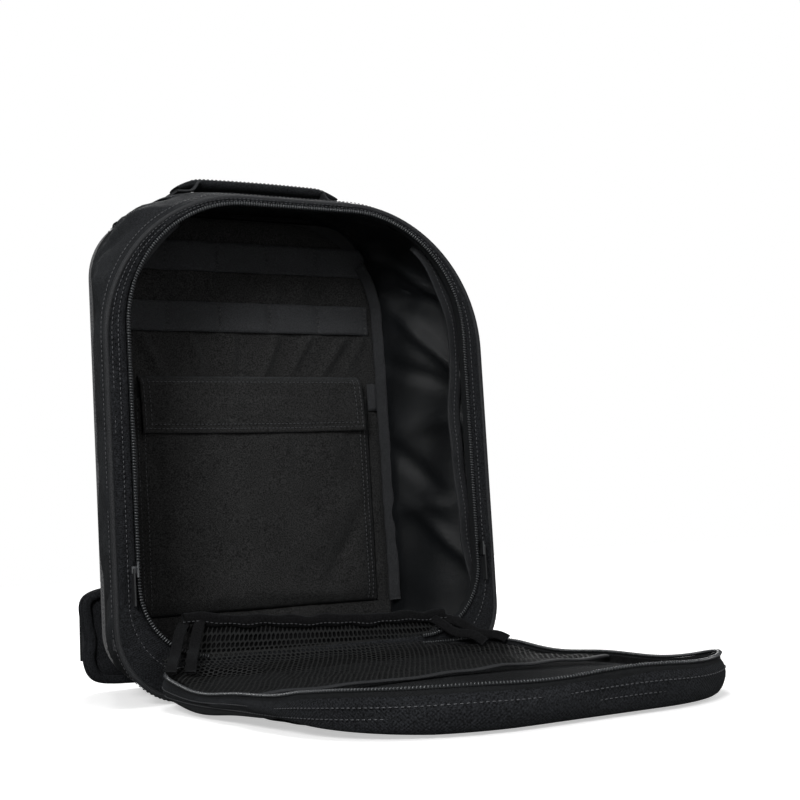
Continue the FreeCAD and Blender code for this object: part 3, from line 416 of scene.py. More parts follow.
def oval(width, height, count=12, power=2.0):
    """Superellipse: a = w/2 * |cos|^(2/p), b = h/2 * |sin|^(2/p), with the signs kept."""
    turn = np.arange(count) / count * 2 * math.pi + math.pi / count
    a = width / 2 * np.sign(np.cos(turn)) * np.abs(np.cos(turn)) ** (2 / power)
    b = height / 2 * np.sign(np.sin(turn)) * np.abs(np.sin(turn)) ** (2 / power)
    return np.stack([a, b], 1)


def strip(name, path, width, height, up, finish, body, closed=False, count=12, power=5.0, **more):
    """Closed band or cord: a superellipse carried along a path, capped where it ends."""
    path = np.asarray(path, float)
    grid = sweep(path, oval(width, height, count, power), up, closed)
    faces, _ = grid_faces(grid, (closed, True))
    flat = grid.reshape(-1, 3)
    quad = flat[faces]
    middle = np.repeat(path, count, 0)
    flip = bool(np.einsum("ij,ij->", crossed(quad), quad.mean(1) - middle[faces].mean(1)) < 0)
    faces, uv = grid_faces(grid, (closed, True), flip)
    uv = uv[:, ::-1]
    listed = faces.tolist()
    if not closed:
        listed += end_faces(len(path), count, flip)
        edge = np.stack([np.arange(count) * 1.0, np.zeros(count)], 1)
        uv = np.concatenate([uv, edge, edge])
    return piece(name, flat, listed, finish, body, uv=uv, **more)


def bead(long, wide, high, sides=6, rings=3):
    """Small closed grain along X: x = l/2 cos a, radius sin a, poles at both ends."""
    turn = np.arange(1, rings + 1) / (rings + 1) * math.pi
    around = np.arange(sides) / sides * 2 * math.pi
    x = -np.repeat(np.cos(turn), sides) * long / 2
    swell = np.repeat(np.sin(turn) ** 0.6, sides)
    y = np.tile(np.cos(around), rings) * swell * wide / 2
    z = np.tile(np.sin(around), rings) * swell * high / 2
    points = np.concatenate([np.stack([x, y, z], 1), [[-long / 2, 0, 0], [long / 2, 0, 0]]])
    faces = []
    for k in range(sides):
        n = (k + 1) % sides
        faces.append((k, n, rings * sides))
        faces.append(((rings - 1) * sides + n, (rings - 1) * sides + k, rings * sides + 1))
        for level in range(rings - 1):
            a, b = level * sides, (level + 1) * sides
            faces.append((a + n, a + k, b + k, b + n))
    return points, faces


def spaced(path, up, gap, closed=False):
    """Points and up directions at an even spacing along a path."""
    path = np.asarray(path, float)
    rows = np.concatenate([path, np.broadcast_to(np.asarray(up, float), path.shape)], 1)
    if closed:
        rows = np.concatenate([rows, rows[:1]])
    run = distances(rows[:, :3])
    count = max(2, int(round(run[-1] / gap)))
    at = np.arange(count) * run[-1] / count if closed else np.linspace(0, run[-1], count)
    rows = np.stack([np.interp(at, run, rows[:, k]) for k in range(6)], 1)
    return rows[:, :3], rows[:, 3:]


def smooth_path(points, count):
    """Curve through points: each coordinate by a Catmull-Rom spline on the point number."""
    points = np.asarray(points, float)
    padded = np.concatenate([2 * points[:1] - points[1:2], points, 2 * points[-1:] - points[-2:-1]])
    at = np.linspace(0, len(points) - 1 - 1e-6, count)
    k = at.astype(int)
    t = (at - k)[:, None]
    a, b, c, d = (padded[k + n] for n in range(4))
    return 0.5 * (2 * b + (c - a) * t + (2 * a - 5 * b + 4 * c - d) * t ** 2
                  + (3 * b - a - 3 * c + d) * t ** 3)


def repeat(name, shape, runs, finish, body, gap, turned=0.0, **more):
    """Copies of a small shape at an even spacing along runs of (path, up), and closed ones of
    (path, up, True)."""
    points, faces = shape
    made, where = [], []
    for path, up, *closed in runs:
        closed = bool(closed)
        at, up = spaced(path, up, gap, closed)
        tangent, side, top = frames(at, up, closed)
        lean = math.radians(turned)
        first = tangent * math.cos(lean) + side * math.sin(lean)
        second = side * math.cos(lean) - tangent * math.sin(lean)
        made.append(at[:, None] + points[:, 0, None] * first[:, None]
                    + points[:, 1, None] * second[:, None] + points[:, 2, None] * top[:, None])
    copies = np.concatenate(made)
    for number in range(len(copies)):
        start = number * len(points)
        where += [[start + k for k in face] for face in faces]
    return piece(name, copies.reshape(-1, 3), where, finish, body, **more)


def stitch(name, runs, body):
    """Rows of lockstitch: waxed grains laid end to end along each run."""
    size = sizes()
    grain = bead(size.stitch_long / MM, size.stitch_thick / MM, size.stitch_thick / MM, 5, 3)
    return repeat(name, grain, runs, "thread", body, size.stitch_pitch / MM)


def creases(u, v, folds):
    """Sum of soft folds: depth * exp(-(along / length)^2 - (across / width)^2) for each row
    (u, v, angle in degrees, length, width, depth)."""
    total = np.zeros(np.broadcast(u, v).shape)
    for u0, v0, angle, long, wide, deep in folds:
        c, s = math.cos(math.radians(angle)), math.sin(math.radians(angle))
        along = (u - u0) * c + (v - v0) * s
        across = (v - v0) * c - (u - u0) * s
        total = total + deep * np.exp(-(along / long) ** 2 - (across / wide) ** 2)
    return total


def ripple(u, v, wave, deep, seed):
    """Gentle unevenness of cloth: a sum of sine waves in seeded directions near one wavelength."""
    count = 9
    rng = np.random.default_rng(seed)
    angle = rng.uniform(0, math.pi, count)
    turn = rng.uniform(0, 2 * math.pi, count)
    waves = wave * rng.uniform(0.7, 1.6, count)
    total = np.zeros(np.broadcast(u, v).shape)
    for a, t, w in zip(angle, turn, waves):
        total = total + np.sin((u * math.cos(a) + v * math.sin(a)) * 2 * math.pi / w + t)
    return total * deep / math.sqrt(count)


def arch(half, foot, top, shoulder, toe):
    """Closed outline in x and z, from the left end of its base line counter-clockwise: lines
    joined by arcs, centre + radius * (cos, sin), with one count of points for every outline."""
    def line(ax, az, bx, bz, count):
        t = (np.arange(count) / count)[:, None]
        return np.array([[ax, az]]) * (1 - t) + np.array([[bx, bz]]) * t

    def arc(cx, cz, radius, start, count):
        a = np.radians(start + 90 * np.arange(count) / count)
        return np.stack([cx + radius * np.cos(a), cz + radius * np.sin(a)], 1)

    return np.concatenate([
        line(toe - half, foot, half - toe, foot, 36), arc(half - toe, foot + toe, toe, -90, 16),
        line(half, foot + toe, half, top - shoulder, 56),
        arc(half - shoulder, top - shoulder, shoulder, 0, 32),
        line(half - shoulder, top, shoulder - half, top, 28),
        arc(shoulder - half, top - shoulder, shoulder, 90, 32),
        line(-half, top - shoulder, -half, foot + toe, 56), arc(toe - half, foot + toe, toe, 180, 16)])


def outward(outline):
    """Unit normals of a counter-clockwise outline, (tangent z, -tangent x)."""
    step = unit(np.roll(outline, -1, 0) - np.roll(outline, 1, 0))
    return np.stack([step[:, 1], -step[:, 0]], 1)


def inset(outline, distance):
    """An outline moved inwards by a distance along its normals."""
    return outline - outward(outline) * np.reshape(distance, (-1, 1))


def stood(outline, y):
    """Points of an x and z outline stood up at depth y."""
    return xyz(outline[..., 0], y, outline[..., 1])


def folded(points):
    """Points of the closed panel laid down about the hinge (y, z) = (a, b): (x, y, z) goes to
    (x, a + b - z, b - a + y)."""
    return xyz(points[..., 0], HINGE[1] + HINGE[2] - points[..., 2],
               HINGE[2] - HINGE[1] + points[..., 1])


def folded_directions(vectors):
    """Directions of the closed panel laid down: (x, y, z) to (x, -z, y)."""
    return xyz(vectors[..., 0], -vectors[..., 2], vectors[..., 1])


# the panel turns about this point of the hinge line; the fin over it falls 1 mm in every
# FIN_FALL mm to the right
HINGE = np.array([0.0, -65.3, 32.0])
FIN_FALL = 16.0
BODY_TOP, BACK_TOP = span("front_border")[1][2], span("back_panel")[1][2]
OUTER = arch(165, 0, BODY_TOP, 118, 56)
MIDDLE = arch(147, 0, BACK_TOP, 92, 60)
REAR = arch(130, 0, BACK_TOP, 66, 52)
HOLE = arch(147.6, 31.4, 377.6, 100, 57)
CHAIN = arch(147, 32, 377, 99.4, 56.4)
# The chain leaves out the base line: from the foot of one side over the top to the other
OPEN_RUN = slice(36, None)


def swell_out(item, cap):
    """Foam under its cover: even out the mesh, blow it up as cloth, and cap each point's move."""
    voxel, pressure, count = 4.5, 4.0, 20
    cap = cap or sizes().swell
    even = item.modifiers.new("even", "REMESH")
    even.mode = "VOXEL"
    even.voxel_size = voxel * MM
    graph = bpy.context.evaluated_depsgraph_get()
    mesh = bpy.data.meshes.new_from_object(item.evaluated_get(graph))
    item.modifiers.clear()
    item.data = mesh
    rest = np.zeros(len(mesh.vertices) * 3)
    mesh.vertices.foreach_get("co", rest)
    cloth = item.modifiers.new("cover", "CLOTH")
    cloth.settings.use_pressure = True
    cloth.settings.uniform_pressure_force = pressure
    cloth.settings.effector_weights.gravity = 0.0
    cloth.point_cache.frame_start = 1
    cloth.point_cache.frame_end = count
    for number in range(1, count + 1):
        bpy.context.scene.frame_set(number)
    graph = bpy.context.evaluated_depsgraph_get()
    blown = item.evaluated_get(graph).to_mesh()
    moved = np.zeros(len(rest))
    blown.vertices.foreach_get("co", moved)
    item.modifiers.remove(cloth)
    bpy.context.scene.frame_set(1)
    step = (moved - rest).reshape(-1, 3)
    far = np.linalg.norm(step, axis=1, keepdims=True)
    step = step * np.minimum(1.0, cap / np.maximum(far, 1e-9))
    mesh.vertices.foreach_set("co", (rest.reshape(-1, 3) + step).ravel())
    mesh.update()
    mesh.polygons.foreach_set("use_smooth", np.full(len(mesh.polygons), True))


def pad_form(low, high, corner, crown, pull):
    """Closed pad: rounded rectangle rings in x and z that shrink to a pole on both faces.

    The ring at k is centre + k * outline, its depth +-half * (1 - k^4)^(1/2) + crown * (1 - k^2),
    and the long edges pull in by pull * cos between the corners.
    """
    rows = 14
    centre, half = (low + high) / 2, (high - low) / 2
    turn = np.arange(96) / 96 * 2 * math.pi
    power = 2 / max(2.0, min(half[0], half[2]) / corner * 2)
    x = half[0] * np.sign(np.cos(turn)) * np.abs(np.cos(turn)) ** power
    z = half[2] * np.sign(np.sin(turn)) * np.abs(np.sin(turn)) ** power
    x = x * (1 - pull / half[0] * np.cos(z / half[2] * math.pi / 2))
    z = z * (1 - pull / half[2] * np.cos(x / half[0] * math.pi / 2))
    k = np.sin(np.linspace(0.04, 1.0, rows) * math.pi / 2)
    k = np.concatenate([k, k[-2::-1]])[:, None]
    sign = np.where(np.arange(len(k)) < rows, -1.0, 1.0)[:, None]
    deep = sign * (half[1] - crown) * np.sqrt(np.maximum(0, 1 - k ** 4)) + sign * crown * (1 - k ** 2)
    return np.stack([centre[0] + x * k, centre[1] + deep + 0 * x, centre[2] + z * k], 2)


def cushion(name, low, high, finish, body, corner=12, crown=2.0, pull=1.5, fill=0.6, cap=None,
            channels=(), **more):
    """Padded piece: pad_form blown up as cloth, then sewn channels pressed into its outer face."""
    inner = 2.0
    grid = pad_form(low + inner, high - inner, corner, crown, pull)
    item = skin(name, grid, finish, body, ring=True, cap=True, **more)
    swell_out(item, cap)
    press(item, channels)
    soften(item)


def press(item, channels):
    """Press sewn lines in: y moves by -deep * exp(-(d / wide)^2), d from the line a*x + b*z = c."""
    mesh = item.data
    points = np.zeros(len(mesh.vertices) * 3)
    mesh.vertices.foreach_get("co", points)
    points = points.reshape(-1, 3) / MM
    middle = points[:, 1].mean()
    for a, b, c, wide, deep in channels:
        away = (a * points[:, 0] + b * points[:, 2] - c) / math.hypot(a, b)
        side = np.clip((points[:, 1] - middle) / 3, -1, 1)
        points[:, 1] -= side * deep * np.exp(-(away / wide) ** 2)
    mesh.vertices.foreach_set("co", (points * MM).ravel())
    mesh.update()


def soften(item):
    """One subdivision, the same in the view and the render."""
    smooth = item.modifiers.new("smooth", "SUBSURF")
    smooth.levels = 1
    smooth.render_levels = 1


# ------------------------------------------------------------------ body of the pack
def make_body():
    """Gusset, coated inside, front border, back cloth, piping and stitching of the body."""
    size = sizes()
    t = np.linspace(0, 1, 56)[:, None]
    wall, normal = wall_at(t)
    run = round_run(OUTER)
    u, v = run[None], -62 + 126 * t
    lifted = np.clip((wall[..., 1] - 1) / 26, 0, 1)
    folds = creases(u, v, [
        (1235, -10, 70, 70, 8, -6.0), (1205, -26, 58, 60, 8, 5.0), (1262, 6, 74, 50, 8, 4.5),
        (1170, 0, 80, 70, 8, -4.6), (1140, -30, 86, 60, 7, 3.4), (1095, -10, 98, 80, 9, 2.8),
        (1060, -34, 84, 70, 6, -3.2), (1020, -20, 94, 60, 7, 3.0), (985, 0, 76, 60, 8, -3.6),
        (950, -24, 64, 52, 7, 3.6), (918, 0, 58, 50, 8, -4.2), (886, -20, 50, 46, 8, 3.8),
        (852, 8, 66, 44, 8, -3.0), (820, -10, 80, 40, 7, 2.4), (745, 0, 110, 46, 8, -2.6),
        (700, -10, 120, 50, 8, 2.6), (655, 6, 104, 60, 8, -3.0), (600, -10, 84, 66, 9, 3.0),
        (540, 0, 96, 70, 8, -3.4), (480, -8, 88, 70, 9, 3.2), (420, 0, 102, 70, 8, -3.6),
        (370, -10, 88, 60, 8, 3.4), (320, 0, 70, 50, 8, -3.4), (100, 0, 90, 50, 9, -2.0)])
    uneven = ripple(u, v, 70, 1.3, 4) + ripple(u, v, 27, 0.4, 5)
    held = np.clip(t * 10, 0, 1) * np.clip((1 - t) * 10, 0, 1)
    grip = np.exp(-(wall[..., 0] / 84) ** 8) * (wall[..., 1] > 200)
    out = (1.8 * np.sin(math.pi * t) ** 0.8 + folds + uneven) * lifted * held * (1 - 0.9 * grip)
    outline = wall + normal * np.clip(out, -7, 7)[..., None]
    outline[..., 1] = np.maximum(outline[..., 1], 0.25)
    grid = stood(outline, np.broadcast_to(v, outline.shape[:2]))
    skin("shell_gusset", grid, "cloth", "pack", away=(0, 0, 200), ring=True, thick=1.4,
         slot="shell_fabric", replaces="gusset_shell")

    rows = np.linspace(0, 1, 30)[:, None]
    lining, turned = wall_at(rows * 0.87 + 0.05)
    v = -56 + 108 * rows
    sag = ripple(u, v, 74, 2.0, 8) + creases(u, v, [
        (345, -30, 60, 50, 7, 5.0), (372, 0, 100, 70, 7, 5.0), (405, 20, 64, 60, 8, -4.5),
        (440, -24, 112, 60, 7, 5.5), (470, 10, 92, 50, 6, -4.5), (496, -20, 74, 60, 7, 5.5),
        (530, 14, 108, 60, 7, -4.5), (562, -14, 66, 60, 7, 4.5), (610, 10, 100, 70, 8, -3.5),
        (660, -10, 80, 60, 8, 3.5), (1010, 0, 95, 70, 9, 2.5),
        (1100, 0, 80, 70, 9, -2.5)])
    loose = np.clip((lining[..., 1] - 2) / 30, 0, 1) * np.clip((1 - rows) * 5, 0.15, 1)
    sink = 3.0 + 4.5 * np.clip((1 - rows) * 5, 0, 1) + 0.8 * np.clip(sag, -4.5, 7.0) * loose
    grid = stood(lining - turned * sink[..., None], np.broadcast_to(v, sink.shape))
    item = skin("shell_lining", grid, "liner", "pack", away=(0, 0, 200), ring=True, slot="lining")
    item.data.flip_normals()

    t = np.linspace(0, 1, 13)[:, None, None]
    band = inset(OUTER, 1.0)[None] * (1 - t) + HOLE[None] * t
    u, way = run[None], t[..., 0]
    rise = 1.5 * np.sin(math.pi * way) ** 0.5
    free = np.sin(math.pi * way)
    pucker = (0.35 * np.sin(u * 2 * math.pi / 13) + ripple(u, 60 * way, 52, 0.8, 14)) * free
    pucker = pucker + creases(u, 18 * way, [
        (1250, 9, 80, 30, 6, 1.4), (1200, 9, 70, 30, 6, -1.2), (930, 9, 100, 26, 6, 1.2),
        (870, 9, 60, 26, 6, -1.2), (330, 9, 90, 30, 6, 1.4), (560, 9, 75, 30, 6, -1.0)]) * free
    y = -63.6 - rise + pucker + 0.9 * np.exp(-((way - 0.62) / 0.1) ** 2)
    skin("border_front", stood(band, y), "cloth", "pack", towards=FRONT, ring=True, thick=2.0,
         slot="shell_fabric", replaces="front_border")
    welt = 2 * size.piping / MM
    strip("piping_front", stood(inset(OUTER, 1.6), -63.6), welt, welt, BACK, "binding", "pack",
          closed=True, count=8, power=2.0, slot="binding")
    strip("piping_back", stood(inset(REAR, 1.6), 64.2), 4.0, 4.0, BACK, "binding", "pack",
          closed=True, count=8, power=2.0, slot="binding")
    rings = np.linspace(0.02, 1, 16)[:, None, None]
    centre = np.array([0, 200.0])
    flat = centre + (inset(REAR, 1.5)[None] - centre) * rings
    y = 64.6 + 0.8 * (1 - rings[..., 0] ** 3) + ripple(flat[..., 0], flat[..., 1], 50, 0.25, 12)
    skin("back_cloth", stood(flat, y), "cloth", "pack", towards=BACK, ring=True, thick=2.0,
         slot="shell_fabric", replaces="back_panel", pole=0)

    # bound seam that stands in from the wall behind the front border
    away = stood(outward(OUTER), 0.0)
    for part, name in ((slice(50, 128), "right"), (slice(178, 260), "left")):
        share = np.linspace(0, 1, part.stop - part.start)
        deep = 6.0 + 15.0 * np.sin(math.pi * share) ** 0.9 + 0.8 * np.sin(run[part] / 17)
        seam = stood(OUTER[part] - outward(OUTER)[part] * deep[:, None], -50.0 + 0.9 * np.sin(run[part] / 9))
        strip("seam_binding_" + name, seam, 2.2, 12.0, away[part], "binding", "pack", slot="binding")
        stitch("stitches_seam_" + name, [(seam + np.array([0, -1.2, 0]), FRONT)], "pack")
    lines = [(stood(inset(OUTER, 1.0) * 0.42 + HOLE * 0.58, -65.3), FRONT, True)]
    upper = slice(140, 220)
    lines.append((stood(inset(OUTER, 1.0) * 0.72 + HOLE * 0.28, -65.3)[upper], FRONT))
    stitch("stitches_border", lines, "pack")
    runs = []
    for share, y in ((0.06, -54.4), (0.94, 56.4)):
        line, out = wall_at(np.array([[share]]))
        line = line[0] + out[0] * 1.2
        line[:, 1] = np.maximum(line[:, 1], 0.4)
        runs.append((stood(line, y), stood(out[0], 0.0), True))
    stitch("stitches_gusset", runs, "pack")

    # chevron patch over the corner beside the grab handle, two layers of cloth
    for side, name in ((-1, "left"), (1, "right")):
        across = np.linspace(-1, 1, 25)[:, None]
        along = np.linspace(0, 1, 12)[None]
        x = side * (86 + 16 * (1 - np.abs(across)) * 0.9 - 18 * along)
        depth = 15 + 24 * across + 0 * along
        top = roof_at(np.abs(x), depth) + 1.6
        skin("corner_patch_" + name, xyz(x, depth, top), "cloth", "pack", towards=UP, thick=1.6,
             slot="shell_fabric")


def roof_at(x, y):
    """Height of the body's top at x and y, read off the outline at that depth."""
    share = (np.asarray(y, float) + 62) / 126
    half, top, shoulder = [np.interp(share, (0, 0.5, 1), v) for v in (
        (165, 147, 130), (BODY_TOP, BACK_TOP, BACK_TOP), (118, 92, 66))]
    past = np.clip(x - (half - shoulder), 0, shoulder)
    return top - shoulder + np.sqrt(shoulder ** 2 - past ** 2)


def wall_at(t):
    """Outlines and normals of the gusset at shares t, by the parabola through its front,
    middle and back outlines: F (2t - 1)(t - 1) + M 4t (1 - t) + B t (2t - 1)."""
    t = t[..., None]
    weights = ((2 * t - 1) * (t - 1), 4 * t * (1 - t), t * (2 * t - 1))
    outline = sum(w * o[None] for w, o in zip(weights, (OUTER, MIDDLE, REAR)))
    normal = unit(sum(w * outward(o)[None] for w, o in zip(weights, (OUTER, MIDDLE, REAR))))
    return outline, normal


# ------------------------------------------------------------------ zips
def make_zips():
    """Tapes and coils of the main zip, on the pack and on the panel, and of the outer pocket."""
    size = sizes()
    turn = bead(1.3, size.tooth_long / MM, 2.2)
    tooth = size.tooth_pitch / MM
    path = stood(CHAIN, -67.4)[OPEN_RUN]
    depth = np.linspace(0, 7.5, 6)[:, None, None]
    grid = stood(CHAIN, -66.0)[OPEN_RUN][None] + np.array([0, 1.0, 0]) * depth
    skin("zip_tape_pack", grid, "tape", "pack", away=(0, -60, 200), thick=0.8, offset=0,
         slot="zip_tape", replaces="pack_zip_tape")
    repeat("zip_coil_pack", turn, [(path, FRONT)], "coil", "pack", tooth, turned=8,
           slot="zip_coil", replaces="pack_zip_coil")
    strip("zip_cord_pack", path + np.array([0, 0.7, 0]), 2.4, 1.4, BACK, "tape", "pack", count=8, power=2.0)
    lift = 26.3 - HINGE[2] + HINGE[1]
    path = slump(folded(stood(arch(147, 33.5, 377, 99.4, 56.4), lift)[OPEN_RUN]))
    depth = np.linspace(1.4, 13.5, 6)[:, None, None]
    grid = path[None] - np.array([0, 0, 1.0]) * depth
    skin("zip_tape_panel", grid, "tape", "front_panel", away=(0, -240, 18), thick=0.8, offset=0,
         slot="zip_tape", replaces="panel_zip_tape")
    repeat("zip_coil_panel", turn, [(path, UP)], "coil", "front_panel", tooth, turned=8,
           slot="zip_coil", replaces="panel_zip_coil")
    strip("zip_cord_panel", path - np.array([0, 0, 0.7]), 2.4, 1.4, UP, "tape", "front_panel",
          count=8, power=2.0)
    low, high = span("pocket_zip_tape")
    x = np.linspace(low[0], high[0], 60)
    grid = xyz(x[:, None], np.linspace(low[1], high[1], 7), low[2] + 0.4)
    skin("zip_tape_pocket", grid, "tape", "front_panel", towards=DOWN, thick=0.7, slot="zip_tape",
         replaces="pocket_zip_tape")
    low, high = span("pocket_zip_coil")
    centre = (low + high) / 2
    path = xyz(x, centre[1], centre[2] + 0.2)
    repeat("zip_coil_pocket", bead(1.5, 5.0, 2.2), [(path, DOWN)], "coil", "front_panel", tooth,
           turned=8, slot="zip_coil", replaces="pocket_zip_coil")


# ------------------------------------------------------------------ inside
def plane_grid(low, high, count):
    """Grid in x and z between two corners, (rows, columns) by count, at depth 0."""
    x = np.linspace(low[0], high[0], count[1])
    z = np.linspace(low[2], high[2], count[0])
    x, z = np.meshgrid(x, z)
    return x, z, xyz(x, 0.0, z)


def make_inside():
    """Divider, its bindings, load rows, the pocket with its lid, and their stitching."""
    t = np.linspace(0.02, 1, 60)[:, None, None]
    outline = arch(129, 7, 392, 84, 48)
    centre = np.array([0, 200.0])
    flat = centre + (outline[None] - centre) * t
    x, z = flat[..., 0], flat[..., 1]
    folds = creases(x, z, [
        (-70, 332, 115, 26, 4, -3.4), (-30, 335, 100, 24, 4, -3.0), (30, 330, 80, 24, 4.5, -3.2),
        (58, 334, 62, 26, 4, -3.0), (96, 332, 70, 24, 4, -2.6), (-100, 334, 70, 20, 4, -2.4),
        (-88, 276, 118, 26, 4.5, -3.6), (-48, 280, 104, 26, 4, -3.4), (-14, 276, 84, 28, 4, -3.2),
        (22, 275, 66, 30, 4.5, -4.2), (52, 278, 58, 30, 4, -3.6), (84, 276, 54, 30, 4.5, -4.2),
        (110, 285, 60, 24, 4, -2.6), (-100, 382, 20, 40, 6, -1.4), (40, 384, 10, 50, 6, -1.2)])
    edge = np.clip((1 - t[..., 0]) * 14, 0, 1)
    under = np.exp(-(np.clip(np.abs(z - 306.7) - 12, 0, 9) / 4) ** 2)
    under = np.maximum(under, np.exp(-(np.clip(np.abs(z - 358.7) - 12, 0, 9) / 4) ** 2))
    y = 49.3 - 0.6 * edge + (folds * (1 - 0.85 * under) + ripple(x, z, 55, 0.5, 21)) * edge
    skin("divider_cloth", stood(flat, np.minimum(y, 51.0)), "panel", "pack", towards=FRONT,
         ring=True, thick=1.2, slot="lining", replaces="divider_panel", pole=0)
    for side, name in ((-1, "left"), (1, "right")):
        low, high = span("divider_binding_" + name)
        z = np.linspace(low[2], 356, 120)
        lean = 1.4 * np.sin(z / 13) + 0.9 * np.sin(z / 4.1)
        near = 43.5 - 5.0 * (1 - (z - low[2]) / (high[2] - low[2]))
        half = 127.0 - 84 + np.sqrt(84 ** 2 - np.clip(z - 308, 0, 80) ** 2)
        path = np.stack([side * (half + 0.5 * lean), near + 0.6 * lean, z], 1)
        strip("binding_divider_" + name, path, 2.4, 10.0, (0.86 * side, -0.5, 0), "binding", "pack",
              slot="binding", replaces="divider_binding_" + name)
    tacks, seams = [], []
    for name in ("webbing_row_lower", "webbing_row_upper"):
        low, high = span(name)
        x, z, grid = plane_grid(low, high, (10, 170))
        share = (x - low[0]) % 47.0 / 47.0
        bow = 2.4 * np.sin(math.pi * share) ** 0.6
        grid[..., 1] = 47.6 - bow - 0.25 * np.cos((z - low[2]) / (high[2] - low[2]) * 2 * math.pi)
        skin("load_" + name, grid, "webbing", "pack", towards=FRONT, thick=1.5, slot="webbing",
             replaces=name)
        for at in np.arange(low[0] + 0.6, high[0] + 1, 47.0):
            at = min(at, high[0] - 1.2)
            rise = np.linspace(low[2] + 2, high[2] - 2, 12)
            for shift in (-1.0, 0.0, 1.0):
                tacks.append((xyz(at + shift, 46.9, rise), FRONT))
    item = stitch("stitches_rows", tacks, "pack")
    item.data.materials[0] = FINISHES["plastic"]

    low, high = span("inner_pocket")
    x, z, grid = plane_grid(low, high, (70, 80))
    side = np.clip(np.minimum(x - low[0], high[0] - x) / 16, 0, 1)
    foot = np.clip((z - low[2]) / 12, 0, 1)
    full = (side ** 0.5) * (foot ** 0.5)
    folds = creases(x, z, [
        (62, 124, 38, 44, 7, 2.8), (80, 104, 58, 36, 6, -2.6), (26, 98, 20, 56, 9, 2.0),
        (-60, 90, -30, 45, 9, 1.8), (92, 186, 80, 30, 7, -2.0), (-90, 180, 100, 30, 7, -1.6),
        (0, 150, 8, 70, 14, 1.2), (-40, 196, 14, 60, 8, -1.2), (40, 70, -12, 60, 7, 1.4)])
    y = 48.6 - full * (7.2 + 2.6 * np.sin(math.pi * (x - low[0]) / (high[0] - low[0])))
    grid[..., 1] = np.clip(y - full * (folds + ripple(x, z, 45, 0.6, 31)), 37.9, 48.8)
    skin("pocket_cloth", grid, "panel", "pack", towards=FRONT, thick=1.2, offset=-1.0, slot="lining",
         replaces="inner_pocket")
    left, right = low[0] + 7, high[0] - 7
    for at in (left, left + 5, right, right - 5):
        rise = np.linspace(low[2] + 4, high[2] - 2, 50)
        depth = np.interp(rise, grid[:, 0, 2], grid[:, int((at - low[0]) / (high[0] - low[0]) * 79), 1])
        seams.append((xyz(at, depth - 0.3, rise), FRONT))

    for name in ("pocket_tab_left", "pocket_tab_right"):
        a, b = span(name)
        x, z, tab = plane_grid(a, b, (8, 8))
        tab[..., 1] = 47.2 - 0.8 * np.sin(math.pi * (x - a[0]) / (b[0] - a[0]))
        skin(name + "_cloth", tab, "webbing", "pack", towards=FRONT, thick=1.4, slot="webbing",
             replaces=name)

    low, high = span("pocket_lid")
    x, z, lid = plane_grid(low, high, (28, 84))
    down = (high[2] - z) / (high[2] - low[2])
    rim = np.minimum(np.minimum(x - low[0], high[0] - x), z - low[2])
    hem = np.exp(-((rim - 5.0) / 1.6) ** 2) * 0.8
    curl = 1.6 * np.exp(-((x - low[0]) / 14) ** 2) * down + 1.2 * np.exp(-((high[0] - x) / 14) ** 2) * down
    sag = 1.6 * down ** 2 * np.sin(math.pi * (x - low[0]) / (high[0] - low[0]))
    y = 41.5 - 4.2 * np.sin(np.clip(down, 0, 1) * math.pi / 2) - sag * 0.4 + hem - curl * 0.5
    y = y - creases(x, z, [
        (-60, 232, 80, 26, 8, 1.0), (10, 226, 100, 26, 10, 0.9), (70, 234, 70, 24, 8, 1.0)])
    y = np.where(down < 0.12, y + (0.12 - down) / 0.12 * 5.5, y)
    lid[..., 1] = np.clip(y, 35.2, 48.6)
    lid[..., 2] = z - 1.2 * down * np.sin(math.pi * (x - low[0]) / (high[0] - low[0])) * 0.8
    skin("lid_cloth", lid, "panel", "lid", towards=FRONT, thick=2.4, slot="lining",
         replaces="pocket_lid")
    lift = np.array([0, -0.35, 0])
    runs = []
    for shift in (3.0, 7.0):
        near = int(round(shift / (high[0] - low[0]) * 83))
        row = int(round(shift / (high[2] - low[2]) * 27))
        for line in (lid[row, near:84 - near], lid[row:26, near], lid[row:26, 83 - near]):
            runs.append((line + lift, FRONT))
    runs.append((lid[24, 3:81] + lift, FRONT))
    stitch("stitches_lid", runs, "lid")
    stitch("stitches_pocket", seams, "pack")


